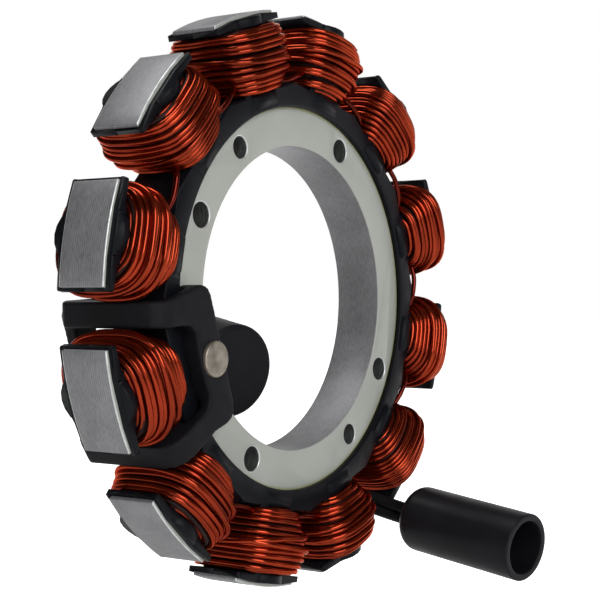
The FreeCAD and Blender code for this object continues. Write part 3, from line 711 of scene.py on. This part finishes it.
def soft_rubber(name, colour, roughness):
    """Black rubber, slightly dusty and uneven."""
    finish = Finish(name, colour, metallic=0.0, roughness=roughness)
    finish.tint(finish.noise(scale=80, detail=5), darker=0.8, lighter=1.3)
    finish.give("Specular IOR Level", DULL)
    finish.roughen(finish.noise(scale=240, detail=5), low=roughness - 0.06, high=roughness + 0.1)
    finish.bump(finish.noise(scale=3200), strength=0.1, distance=0.03 * MM)
    return finish.material


def worn_metal(name, colour, roughness):
    """Metal with small pits and a brownish film."""
    finish = Finish(name, colour, metallic=0.75, roughness=roughness)
    finish.tint(finish.noise(scale=420, detail=6), darker=0.55, lighter=1.2)
    finish.roughen(finish.noise(scale=900, detail=4), low=roughness - 0.1, high=roughness + 0.15)
    finish.bump(finish.noise(scale=1100, detail=5), strength=0.35, distance=0.08 * MM)
    return finish.material


def mirror_rays(tree, path):
    """Tell the rays that metal mirrors and glass lets through from all others."""
    return calculated(tree, "MAXIMUM", path["Is Glossy Ray"], path["Is Transmission Ray"])


def studio_white(name, dim_side):
    """White floor that keeps the shadow near the object and mirrors dimly on the photographer's side."""
    finish = Finish(name, (0.9, 0.9, 0.9), metallic=0.0, roughness=0.9)
    tree = finish.tree
    path = add_node(tree, "ShaderNodeLightPath").outputs
    beyond = measured(tree, "DOT_PRODUCT", finish.place, CAMERA_FORWARD)
    side = ranged(tree, beyond, FLOOR_DIM_RANGE, (dim_side, 1.0), smooth=True)
    mirrored = calculated(tree, "MULTIPLY", mirror_rays(tree, path), side)
    seen = calculated(tree, "MAXIMUM", path["Is Camera Ray"], mirrored)
    away = measured(tree, "LENGTH", finish.place)
    level = ranged(tree, away, FLOOR_SHADOW_RANGE, (FLOOR_SHADOW_LEVEL, 1.0), smooth=True)
    finish.give("Emission Color", (1, 1, 1, 1))
    finish.give("Emission Strength", calculated(tree, "MULTIPLY", level, seen))
    return finish.material


def white_world(ambient, dim_side):
    """World that the camera, and metal on its far side, see as white, and that lights the object gently."""
    world = bpy.data.worlds.new("Studio")
    bpy.context.scene.world = world
    world.use_nodes = True
    tree = world.node_tree
    back = next(node for node in tree.nodes if node.type == "BACKGROUND")
    path = add_node(tree, "ShaderNodeLightPath").outputs
    direction = add_node(tree, "ShaderNodeTexCoord").outputs["Generated"]
    facing = measured(tree, "DOT_PRODUCT", direction, CAMERA_FORWARD)
    mirrored = ranged(tree, facing, WORLD_DIM_RANGE, (dim_side, 1.0), smooth=True)
    shown = mixed(tree, mirror_rays(tree, path), ambient, mirrored)
    feed(tree, back.inputs["Color"], (1, 1, 1, 1))
    feed(tree, back.inputs["Strength"], mixed(tree, path["Is Camera Ray"], shown, 1.0))


# Settings that a user would change


def setting(kind, **options):
    """Maker of settings of one kind, each from its name, description and default."""
    return lambda name, text, value: kind(name=name, description=text, default=value, **options)


length_of = setting(bpy.props.FloatProperty, unit="LENGTH", subtype="DISTANCE", precision=5)
colour_of = setting(bpy.props.FloatVectorProperty, size=3, min=0, max=1, subtype="COLOR")
count_of = setting(bpy.props.IntProperty)
level_of = setting(bpy.props.FloatProperty)


class WindingSettings(bpy.types.PropertyGroup):
    wire_radius: length_of("Wire Radius", "Radius of the enamelled wire", 0.6 * MM)
    outer_turns: count_of("Outer Turns", "Turns seen on the outside of a coil", 14)
    inner_turns: count_of("Inner Turns", "Turns in the layer beneath", 10)
    stray_turns: count_of("Stray Turns", "Turns that cross over the others", 2)
    points: count_of("Points", "Points in each turn", 52)
    sides: count_of("Sides", "Flat sides of the wire's section", 9)
    wander: length_of("Wander", "How far a turn strays along its pole", 0.6 * MM)
    wander_length: length_of("Wander Length", "Length of wire between strays", 26 * MM)
    seed: count_of("Seed", "Start of the random strays", 11)
    copper: colour_of("Copper", "Colour of the enamelled wire", (0.33, 0.036, 0.0115))
    # Painted shade: the near-black colour of the inner turns and of the body that fills each coil
    shade: colour_of("Shade", "Colour of the inner turns", (0.02, 0.002, 0.001))
    # Painted shade: the copper of the wires that cross the slots is darkened as if in the slots' shadow
    crossing: colour_of("Crossing", "Colour of the wires that cross the slots", (0.11, 0.010, 0.005))


class MouldingSettings(bpy.types.PropertyGroup):
    flange_corner: length_of("Flange Corner", "Radius of the flanges' front corners", 1.1 * MM)
    clip_softness: count_of("Clip Softness", "Rounds of softening of the clip", 9)
    insulator: colour_of("Insulator", "Colour of the insulators", (0.005, 0.0055, 0.0075))
    clip: colour_of("Clip", "Colour of the lead clip", (0.008, 0.008, 0.010))


class CoreSettings(bpy.types.PropertyGroup):
    edge: length_of("Edge", "Radius of the core's edges", 0.28 * MM)
    sheet: length_of("Sheet", "Thickness of one sheet of the stack", 0.5 * MM)
    coat: colour_of("Coat", "Colour of the coated faces", (0.385, 0.40, 0.365))
    steel: colour_of("Steel", "Colour of the ground edges", (0.272, 0.272, 0.281))
    # Pale bare steel of the broken edges, partly a painted highlight
    rim_and_highlight: colour_of("Rim", "Colour of the broken edges", (0.72, 0.74, 0.73))
    # Dark steel of the hole walls, partly painted shade inside the holes
    hole: colour_of("Hole", "Colour of the walls of the drilled holes", (0.07, 0.075, 0.07))
    rivet: colour_of("Rivet", "Colour of the rivet", (0.35, 0.31, 0.26))


class RubberSettings(bpy.types.PropertyGroup):
    boot: colour_of("Boot", "Colour of the boot", (0.006, 0.006, 0.008))
    shroud: colour_of("Shroud", "Colour of the connector's shroud", (0.008, 0.008, 0.010))
    lead: colour_of("Lead", "Colour of the leads", (0.008, 0.008, 0.009))
    contact: colour_of("Contact", "Colour of the contacts", (0.62, 0.42, 0.16))
    boot_edge: length_of("Boot Edge", "Radius of the boot's edges", 1.4 * MM)
    shroud_edge: length_of("Shroud Edge", "Radius of the shroud's closed end", 3.0 * MM)


class StudioSettings(bpy.types.PropertyGroup):
    floor_drop: length_of("Floor Drop", "How far the floor lies under the object", 60 * MM)
    floor_size: length_of("Floor Size", "Width of the floor", 12.0)
    ambient: level_of("Ambient", "Light from all round", 0.33)
    dim_side: level_of("Dim Side", "White that metal shows on the photographer's side", 0.06)
    key_power: level_of("Key", "Power of the main lamp in watts", 8.4)
    fill_power: level_of("Fill", "Power of the side lamp in watts", 0.6)
    top_power: level_of("Top", "Power of the lamp above in watts", 5.0)


def settings(name):
    """One group of the settings, as the scene holds it."""
    return getattr(bpy.context.scene, f"stator_{name}")


def finished(piece, node):
    """Tie a finished piece to the frame in place of a solid."""
    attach(piece, "root")
    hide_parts(node)


# Laminated core


def core_finish(face):
    """Slot of a face's finish: flat faces are coated and the rest is bare, by its place and tilt."""
    radius = math.hypot(face.center.x, face.center.z)
    tilt = abs(face.normal.y)
    by_holes = HOLES_INNER < radius < HOLES_OUTER
    if tilt > FLAT:
        return COATED
    # Broken edges by the holes and at the poles' tips: bare steel, its pale colour partly a painted highlight
    if tilt > BROKEN_EDGE and (by_holes or radius > POLE_TIP - TIP_BAND):
        return BARE_WITH_HIGHLIGHT
    # Walls inside the holes: scored steel, darkened with painted shade
    if by_holes:
        return DRILLED_WITH_SHADE
    return COATED if tilt > NEARLY_FLAT else GROUND


class STATOR_OT_core(bpy.types.Operator):
    """Round the core's edges and tell its coated faces from its ground edges"""

    bl_idname = "stator.core"
    bl_label = "Laminated core"

    def execute(self, context):
        sizes = settings("core")
        piece = softened("core_stack", "laminated_core", sizes.edge)
        piece.data.materials.append(coated_steel(sizes.coat))
        piece.data.materials.append(sheet_edges(sizes.steel, sizes.sheet))
        # The bare rims' pale colour is partly a painted highlight
        piece.data.materials.append(bare_rims_with_highlight(sizes.rim_and_highlight))
        # The drilled walls' dark colour is partly painted shade
        piece.data.materials.append(drilled_walls_with_shade(sizes.hole))
        for face in piece.data.polygons:
            face.material_index = core_finish(face)
        finished(piece, "core_stack")
        return {"FINISHED"}


# Moulded insulators


def half_moon(name, front, steps=20):
    """Half-moon tab on the pole that lies on the X axis, at the front or the rear."""
    depth = COVER / 2 + TAB_HEIGHT
    radius = ((TAB_CHORD / 2) ** 2 + depth**2) / (2 * depth)
    half_arc = 2 * math.atan(2 * depth / TAB_CHORD)
    shell = bmesh.new()
    outlines = []
    for place in (FLANGE_SEAT, FLANGE_SEAT + TAB_THICKNESS):
        outline = []
        for step in range(steps + 1):
            angle = half_arc * (1 - 2 * step / steps)
            rise = COVER / 2 + depth - radius * (1 - math.cos(angle))
            forward = FRONT_FACE - rise if front else REAR_FACE + rise
            outline.append(shell.verts.new((place, forward, radius * math.sin(angle))))
        outlines.append(outline)
        shell.faces.new(outline)
    bridge(shell, *outlines)
    piece = object_from(name, mesh_from(shell, name))
    bevel = piece.modifiers.new("Rounded edges", "BEVEL")
    bevel.width = TAB_EDGE
    bevel.segments = 3
    bevel.limit_method = "ANGLE"
    bevel.angle_limit = TAB_EDGE_ANGLE
    applied(piece)
    smoothed(piece.data)
    return piece


def flange_weight(edge):
    """Share of the full roundness for an edge: all of it at the flanges' corners, little elsewhere."""
    first, second = (vertex.co for vertex in edge.verts)
    middle = (first + second) / 2
    outer_faces = (FRONT_FACE - COVER, REAR_FACE + COVER)
    if edge.calc_length() < SHORT_EDGE or min(abs(middle.y - face) for face in outer_faces) >= NEARNESS:
        return 0.0
    poles = round((math.atan2(middle.z, middle.x) - FIRST_POLE_ANGLE) / POLE_PITCH)
    angle = FIRST_POLE_ANGLE + poles * POLE_PITCH
    reach = Vector((middle.x, 0, middle.z))
    along = reach.dot(spoke(angle, 1, 0, 0))
    across = abs(reach.dot(spoke(angle, 0, 1, 0)))
    if along > FLANGE_SEAT - NEARNESS and across > FLANGE_HALF - NEARNESS:
        return 1.0
    return FLANGE_EDGE_SHARE


class STATOR_OT_insulators(bpy.types.Operator):
    """Round the two insulators' edges and give each pole its half-moon tabs"""

    bl_idname = "stator.insulators"
    bl_label = "Moulded insulators"

    def execute(self, context):
        sizes = settings("moulding")
        finish = moulded_plastic("Insulator plastic", sizes.insulator, roughness=0.38, grain=0.06)
        tree = ring_tree()
        for side in ("front", "rear"):
            solid = f"insulator_{side}"
            tabs = half_moon(f"tabs_{side}", side == "front")
            grown(tabs, tree, count=POLE_COUNT, first_angle=FIRST_POLE_ANGLE, finish=finish)
            body = softened(solid, f"body_{side}", sizes.flange_corner, segments=3, weigh=flange_weight)
            piece = joined(f"moulded_{solid}", [body, tabs], [finish])
            finished(piece, solid)
        return {"FINISHED"}


# Coils


def turn_size(share):
    """Half width across the pole and overhang past the stack, a share of the way out along it."""
    share = min(max(share, 0.0), 1.0)
    skew = math.log(0.5) / math.log(COIL_CREST_SHARE)
    widening = math.sin(math.pi * share) ** COIL_FULLNESS
    rise = math.sin(math.pi * share**skew) ** COIL_FULLNESS
    half_pitch = (COIL_INNER + COIL_REACH * share) * math.tan(POLE_PITCH / 2)
    gap = COIL_INNER_GAP * (1 - share) + COIL_OUTER_GAP * share
    overhang = COIL_INNER_OVERHANG * (1 - share) + COIL_OUTER_OVERHANG * share
    return half_pitch - gap + COIL_WIDTH_BULGE * widening, overhang + COIL_OVERHANG_BULGE * rise


def even_places(count, root, end, along_steps=200, end_steps=40, slack=1e-12):
    """Space turns evenly up the coil's inner end, out along it and down its outer end.

    Each place is the share of the way out along the pole and the depth under the coil's surface.
    """
    walk = [(0.0, root * (1 - step / end_steps)) for step in range(end_steps)]
    walk += [(step / along_steps, 0.0) for step in range(along_steps + 1)]
    walk += [(1.0, end * (step + 1) / end_steps) for step in range(end_steps)]
    spots = [Vector((COIL_REACH * share, turn_size(share)[1] - depth)) for share, depth in walk]
    reach = [0.0]
    for before, here in zip(spots, spots[1:]):
        reach.append(reach[-1] + (here - before).length)
    places = []
    for number in range(count + 1):
        wanted = reach[-1] * number / count
        places.append(walk[next(index for index, value in enumerate(reach) if value >= wanted - slack)])
    return places


def between(values, place):
    """Read a list at a place between its numbers."""
    place = min(max(place, 0.0), len(values) - 1.0)
    low = min(int(place), len(values) - 2)
    return values[low] + (values[low + 1] - values[low]) * (place - low)


def squared(value):
    """Cosine or sine of an angle, swollen towards a squarer turn."""
    return math.copysign(abs(value) ** (2 / TURN_SQUARENESS), value)


def turn_point(angle, share, around, depth):
    """Point of a turn: its share along the pole, its angle round the pole and its depth under the crest."""
    half_width, overhang = turn_size(share)
    across = (half_width - depth) * squared(math.cos(around))
    forward = MIDDLE + (STACK / 2 + overhang - depth) * squared(math.sin(around))
    return spoke(angle, COIL_INNER + COIL_REACH * share, across, forward)


def layer(angle, turns, inset, root, end, wire, points, draw):
    """Line of one layer: a helix whose turns bunch here and there and lie deeper on the pole's sides."""
    shares, depths = zip(*even_places(turns, root, end))
    margin = wire / COIL_REACH
    bunching = [draw.uniform(-BUNCHING, BUNCHING) for _ in range(turns + 2)]
    slant = [draw.uniform(-SLANT, SLANT) for _ in range(2 * turns + 3)]
    line = []
    for step in range(turns * points + 1):
        turn = step / points
        around = math.tau * turn
        shift = between(slant, 2 * turn) + between(bunching, turn)
        place = (turn + LOOSENESS * shift) * (1 + 2 * END_PRESS / turns) - END_PRESS
        place = min(max(place, 0.0), float(turns))
        share = margin + (1 - 2 * margin) * between(shares, place)
        stagger = 0.5 * (1 - math.cos(math.pi * turn)) * math.cos(around) ** 2
        depth = inset + wire + between(depths, place) + STAGGER_DEPTH * wire * stagger
        line.append(turn_point(angle, share, around, depth))
    return line


def stray(angle, wire, points, draw, places=(0.2, 0.8), rise=0.15, dive=3, sharpness=8):
    """Line of a turn that rides over the others between two places along its pole, and dives at its ends."""
    start, end = draw.uniform(*places), draw.uniform(*places)
    line = []
    for step in range(points + 1):
        turn = step / points
        share = start + (end - start) * (0.5 - 0.5 * math.cos(math.pi * turn))
        depth = dive * wire * abs(2 * turn - 1) ** sharpness - rise * wire
        line.append(turn_point(angle, share, math.tau * (turn + 0.25), depth))
    return line


def coil_heart(name, angle, depth, first=0.06, reach=0.92, narrowing=0.5, rate=5, steps=12, sides=36):
    """Closed body of the inner turns, sunk under the layers of wire and narrower at its root."""
    shell = bmesh.new()
    rings = []
    for step in range(steps + 1):
        share = first + reach * step / steps
        inset = depth + COIL_ROOT_DEPTH * narrowing * max(0, 1 - rate * share)
        ring = [turn_point(angle, share, math.tau * side / sides, inset) for side in range(sides)]
        rings.append([shell.verts.new(point) for point in ring])
    for near, far in zip(rings, rings[1:]):
        bridge(shell, near, far)
    shell.faces.new(rings[0])
    shell.faces.new(rings[-1])
    mesh = mesh_from(shell, name)
    smoothed(mesh)
    return object_from(name, mesh)


def wound_coil(number, sizes, tree, copper, shade):
    """Wind one coil: its outer turns with a few strays, the layer beneath, and a body that fills the rest;
    the layer beneath and the body wear painted shade.
    """
    draw = random.Random(sizes.seed + number)
    angle = pole_angle(number)
    wire = sizes.wire_radius
    points = sizes.points
    outer = [layer(angle, sizes.outer_turns, 0, COIL_ROOT_DEPTH, COIL_END_DEPTH, wire, points, draw)]
    outer += [stray(angle, wire, points, draw) for _ in range(sizes.stray_turns)]
    inset = INNER_LAYER_DEPTH * wire
    inner = [layer(angle, sizes.inner_turns, inset, INNER_ROOT_DEPTH, 0, wire, points, draw)]
    parts = []
    for name, lines, finish in (("turns", outer, copper), ("beneath", inner, shade)):
        wires = object_from(f"{name}_{number}", line_mesh(f"{name}_{number}", lines))
        grown(
            wires,
            tree,
            wire_radius=wire,
            sides=sizes.sides,
            wander=sizes.wander,
            wander_length=sizes.wander_length,
            wander_direction=spoke(angle, 1, 0, 0),
            seed=float(number * COIL_NOISE_STEP + sizes.seed),
            finish=finish,
        )
        parts.append(wires)
    # The body under the layers wears the shade colour too: a dark mass of painted shade between the turns
    parts.append(coil_heart(f"heart_{number}", angle, HEART_DEPTH * wire))
    return joined(f"wound_coil_{number + 1:02d}", parts, [copper, shade, shade])


class STATOR_OT_coils(bpy.types.Operator):
    """Wind every coil with layers of round wire"""

    bl_idname = "stator.coils"
    bl_label = "Wound coils"

    def execute(self, context):
        sizes = settings("winding")
        copper = enamelled_copper("Enamelled copper", sizes.copper)
        # Inner turns and coil bodies wear painted shade
        shade = painted_shade_copper(sizes.shade)
        tree = wire_tree()
        for number in range(POLE_COUNT):
            piece = wound_coil(number, sizes, tree, copper, shade)
            finished(piece, f"coil_{number + 1:02d}")
        return {"FINISHED"}


# Wires, leads and other plain round lines


def round_line(name, lines, tree, radius, finish, sides=20):
    """Lay an even round wire along several lines."""
    piece = object_from(name, line_mesh(name, lines))
    return grown(piece, tree, wire_radius=radius, sides=sides, finish=finish)


class STATOR_OT_crossings(bpy.types.Operator):
    """Lay the wires that cross the slots from coil to coil"""

    bl_idname = "stator.crossings"
    bl_label = "Crossing wires"

    def execute(self, context):
        sizes = settings("winding")
        draw = random.Random(sizes.seed)
        forward = FRONT_FACE - CROSSING_LIFT
        lines = []
        for number in range(POLE_COUNT):
            slot = number + 0.5
            if slot in FREE_SLOTS:
                continue
            angle = pole_angle(slot)
            slant = math.copysign(draw.uniform(*CROSSING_SLANT) * MM, math.cos(angle))
            path = []
            for slanted, across, dip in CROSSING_PATH:
                radius = CROSSING_RADIUS + slanted * slant
                path.append(spoke(angle, radius, across * CROSSING_REACH, forward + dip * CROSSING_DIP))
            lines.append(curved(path))
        # The darker copper colour is painted shade on the wires that cross the slots
        finish = enamelled_copper("Shaded copper", sizes.crossing)
        piece = round_line("crossing_wires", lines, wire_tree(), sizes.wire_radius, finish, sizes.sides)
        finished(piece, "coil_crossings")
        return {"FINISHED"}


# Lead clip and its rivet


class STATOR_OT_clip(bpy.types.Operator):
    """Round the lead clip's edges"""

    bl_idname = "stator.clip"
    bl_label = "Lead clip"

    def execute(self, context):
        sizes = settings("moulding")
        piece = melted("lead_clip", "moulded_clip", CLIP_CELL, sizes.clip_softness)
        piece.data.materials.append(moulded_plastic("Clip plastic", sizes.clip, roughness=0.55, grain=0.15))
        finished(piece, "lead_clip")
        return {"FINISHED"}


class STATOR_OT_rivet(bpy.types.Operator):
    """Turn the rivet with its domed head"""

    bl_idname = "stator.rivet"
    bl_label = "Rivet"

    def execute(self, context):
        low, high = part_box("clip_rivet")
        start = spoke(pole_angle(0), RIVET_PLACE, 0, low.y)
        head = FRONT_FACE - CLIP_THICKNESS - low.y
        grip = CLIP_THICKNESS + STACK
        end = high.y - low.y
        profile = [
            (RIVET_DIMPLE, 0),
            (0.0, RIVET_CROWN_SHARE * RIVET_HEAD_RADIUS),
            (RIVET_FALL, RIVET_HEAD_RADIUS - 2 * RIVET_EDGE),
            *rounded((RIVET_EDGE + RIVET_EDGE_FALL, RIVET_HEAD_RADIUS - RIVET_EDGE), RIVET_EDGE, 180, 90),
            (head, RIVET_HEAD_RADIUS),
            (head, RIVET_RADIUS),
            (head + grip, RIVET_RADIUS),
            (head + grip, RIVET_TAIL_RADIUS),
            *rounded((end - RIVET_EDGE, RIVET_TAIL_RADIUS - RIVET_EDGE), RIVET_EDGE, 90, 0),
            (end, 0),
        ]
        finish = worn_metal("Rivet steel", settings("core").rivet, roughness=0.42)
        piece = turned("domed_rivet", profile, start, Vector((0, 1, 0)), finish)
        finished(piece, "clip_rivet")
        return {"FINISHED"}


# Rubber boot


class STATOR_OT_boot(bpy.types.Operator):
    """Mould the rubber boot behind the bore, with its neck"""

    bl_idname = "stator.boot"
    bl_label = "Rubber boot"

    def execute(self, context):
        sizes = settings("rubber")
        edge = sizes.boot_edge
        axis = leaning(BOOT_LEAN)
        profile = [
            (0, 0),
            *rounded((edge, BOOT_RADIUS - edge), edge, 180, 90, steps=8),
            *rounded((BOOT_LENGTH - edge, BOOT_RADIUS - edge), edge, 90, 0, steps=8),
            (BOOT_LENGTH, 0),
        ]
        finish = soft_rubber("Boot rubber", sizes.boot, roughness=0.42)
        body = turned("boot_body", profile, BOOT_FACE, axis, finish, steps=72)

        band_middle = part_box("lead_clip")[1].y - BAND_THICKNESS / 2
        angle = pole_angle(0)
        start = spoke(angle, BAND_INNER, BOOT_NECK_HEIGHT, band_middle)
        bend = spoke(angle, BAND_INNER - BOOT_NECK_STRAIGHT, BOOT_NECK_HEIGHT, band_middle)
        inside = BOOT_FACE + axis * ((band_middle - BOOT_FACE.y) / axis.y)
        lines = [curved([start, bend, inside])]
        neck = round_line("boot_neck", lines, wire_tree(), BOOT_NECK_RADIUS, finish, sides=24)
        finished(joined("rubber_boot", [body, neck], [finish]), "lead_boot")
        return {"FINISHED"}


# Connector, its contacts and its leads


def lead_axis(side, depth):
    """Point on the axis of one lead's hole, by its depth from the shroud's mouth."""
    turn = Vector((1, 0, 0)).rotation_difference(leaning(SHROUD_LEAN))
    return SHROUD_MOUTH + turn @ Vector((depth, 0, side * LEAD_SPREAD))


class STATOR_OT_connector(bpy.types.Operator):
    """Mould the connector's shroud and turn its contacts"""

    bl_idname = "stator.connector"
    bl_label = "Connector"

    def execute(self, context):
        sizes = settings("rubber")
        axis = leaning(SHROUD_LEAN)
        socket = SHROUD_RADIUS - SHROUD_WALL
        floor = SHROUD_LENGTH - SHROUD_BACK_WALL
        edge = sizes.shroud_edge
        profile = [
            (floor, 0),
            (floor, socket - SHROUD_LIP),
            (floor - SHROUD_LIP, socket),
            (SHROUD_LIP, socket),
            *rounded((SHROUD_LIP, socket + SHROUD_LIP), SHROUD_LIP, 270, 180),
            *rounded((SHROUD_LIP, SHROUD_RADIUS - SHROUD_LIP), SHROUD_LIP, 180, 90),
            *rounded((SHROUD_LENGTH - edge, SHROUD_RADIUS - edge), edge, 90, 0, steps=10),
            (SHROUD_LENGTH, 0),
        ]
        finish = soft_rubber("Shroud rubber", sizes.shroud, roughness=0.36)
        piece = turned("moulded_shroud", profile, SHROUD_MOUTH, axis, finish, steps=80)
        finished(piece, "connector_shroud")

        brass = worn_metal("Contact brass", sizes.contact, roughness=0.3)
        profile = [
            (0, 0),
            *rounded((CONTACT_EDGE, CONTACT_RADIUS - CONTACT_EDGE), CONTACT_EDGE, 180, 90),
            (CONTACT_LENGTH, CONTACT_RADIUS),
            (CONTACT_LENGTH, 0),
        ]
        for name, side in SIDES.items():
            tip = lead_axis(side, SHROUD_LENGTH - LEAD_DEPTH - CONTACT_LENGTH)
            pin = turned(f"turned_{name}_contact", profile, tip, axis, brass, steps=24)
            finished(pin, f"{name}_contact")
        return {"FINISHED"}


class STATOR_OT_leads(bpy.types.Operator):
    """Lead two insulated wires from the connector into their slot"""

    bl_idname = "stator.leads"
    bl_label = "Leads"

    def execute(self, context):
        finish = soft_rubber("Lead insulation", settings("rubber").lead, roughness=0.5)
        tree = wire_tree()
        angle = pole_angle(LEAD_SLOT)
        travel = LEAD_END_OFFSET - LEAD_SPREAD * math.cos(angle)
        for name, side in SIDES.items():
            shift = Vector((0, 0, side * LEAD_SPREAD))
            slot_rear = spoke(angle, LEAD_SLOT_RADIUS, 0, REAR_FACE - LEAD_SETBACK) + shift
            path = [
                lead_axis(side, SHROUD_LENGTH - LEAD_DEPTH),
                lead_axis(side, SHROUD_LENGTH + LEAD_STRAIGHT),
                spoke(angle, LEAD_SLOT_RADIUS, 0, FRONT_FACE + LEAD_SETBACK) + shift,
                slot_rear,
                slot_rear + spoke(angle, 0, side * travel, travel / math.tan(LEAD_END_ANGLE)),
            ]
            piece = round_line(f"bent_{name}_lead", [curved(path)], tree, LEAD_RADIUS, finish)
            finished(piece, f"{name}_lead")
        return {"FINISHED"}


# Studio


def add_floor(width, height, dim_side):
    """Lay the white floor, as part of the stage."""
    half = width / 2
    corners = [(-half, -half, height), (half, -half, height), (half, half, height), (-half, half, height)]
    mesh = bpy.data.meshes.new("studio_floor")
    mesh.from_pydata(corners, [], [(0, 1, 2, 3)])
    mesh.materials.append(studio_white("Studio floor", dim_side))
    object_from("studio_floor", mesh)


def add_lamp(name, place, width, power):
    """Soft square lamp that faces the middle of the ring."""
    light = bpy.data.lights.new(name, "AREA")
    light.size = width
    light.energy = power
    lamp = object_from(name, light)
    lamp.location = place
    lamp.rotation_euler = (-Vector(place)).to_track_quat("-Z", "Y").to_euler()


def add_camera():
    """Put the photograph's camera in its place."""
    camera = bpy.data.cameras.new("photo_camera")
    camera.lens = CAMERA_LENS
    camera.sensor_width = CAMERA_SENSOR
    camera.clip_start = CAMERA_NEAR
    camera.clip_end = CAMERA_FAR
    holder = object_from("photo_camera", camera)
    holder.location = CAMERA_PLACE
    holder.rotation_euler = CAMERA_FORWARD.to_track_quat("-Z", "Y").to_euler()
    bpy.context.scene.camera = holder


class STATOR_OT_studio(bpy.types.Operator):
    """Set up the floor, the lamps and the photograph's camera"""

    bl_idname = "stator.studio"
    bl_label = "Studio"

    def execute(self, context):
        sizes = settings("studio")
        context.scene.view_settings.view_transform = "Standard"
        white_world(sizes.ambient, sizes.dim_side)
        add_floor(sizes.floor_size, SOLID_BOUNDS[0].z - sizes.floor_drop, sizes.dim_side)
        for name, (place, width) in LAMPS.items():
            add_lamp(name, place, width, getattr(sizes, f"{name}_power"))
        add_camera()
        return {"FINISHED"}


OPERATORS = (
    STATOR_OT_core,
    STATOR_OT_insulators,
    STATOR_OT_coils,
    STATOR_OT_crossings,
    STATOR_OT_clip,
    STATOR_OT_rivet,
    STATOR_OT_boot,
    STATOR_OT_connector,
    STATOR_OT_leads,
    STATOR_OT_studio,
)
SETTINGS = {
    "winding": WindingSettings,
    "moulding": MouldingSettings,
    "core": CoreSettings,
    "rubber": RubberSettings,
    "studio": StudioSettings,
}


class STATOR_PT_pieces(bpy.types.Panel):
    """List the pieces of the stator"""

    bl_label = "Wound stator"
    bl_idname = "STATOR_PT_pieces"
    bl_space_type = "VIEW_3D"
    bl_region_type = "UI"
    bl_category = "Stator"

    def draw(self, context):
        for name, group in SETTINGS.items():
            box = self.layout.box()
            box.label(text=name.capitalize())
            for key in group.__annotations__:
                box.prop(settings(name), key)
        for operator in OPERATORS:
            self.layout.operator(operator.bl_idname)


def register():
    for item in (*SETTINGS.values(), *OPERATORS, STATOR_PT_pieces):
        bpy.utils.register_class(item)
    for name, group in SETTINGS.items():
        setattr(bpy.types.Scene, f"stator_{name}", bpy.props.PointerProperty(type=group))


def unregister():
    for name in SETTINGS:
        delattr(bpy.types.Scene, f"stator_{name}")
    for item in (STATOR_PT_pieces, *reversed(OPERATORS), *SETTINGS.values()):
        bpy.utils.unregister_class(item)


def main():
    register()
    for operator in OPERATORS:
        family, name = operator.bl_idname.split(".")
        getattr(getattr(bpy.ops, family), name)()


if __name__ == "__main__":
    main()
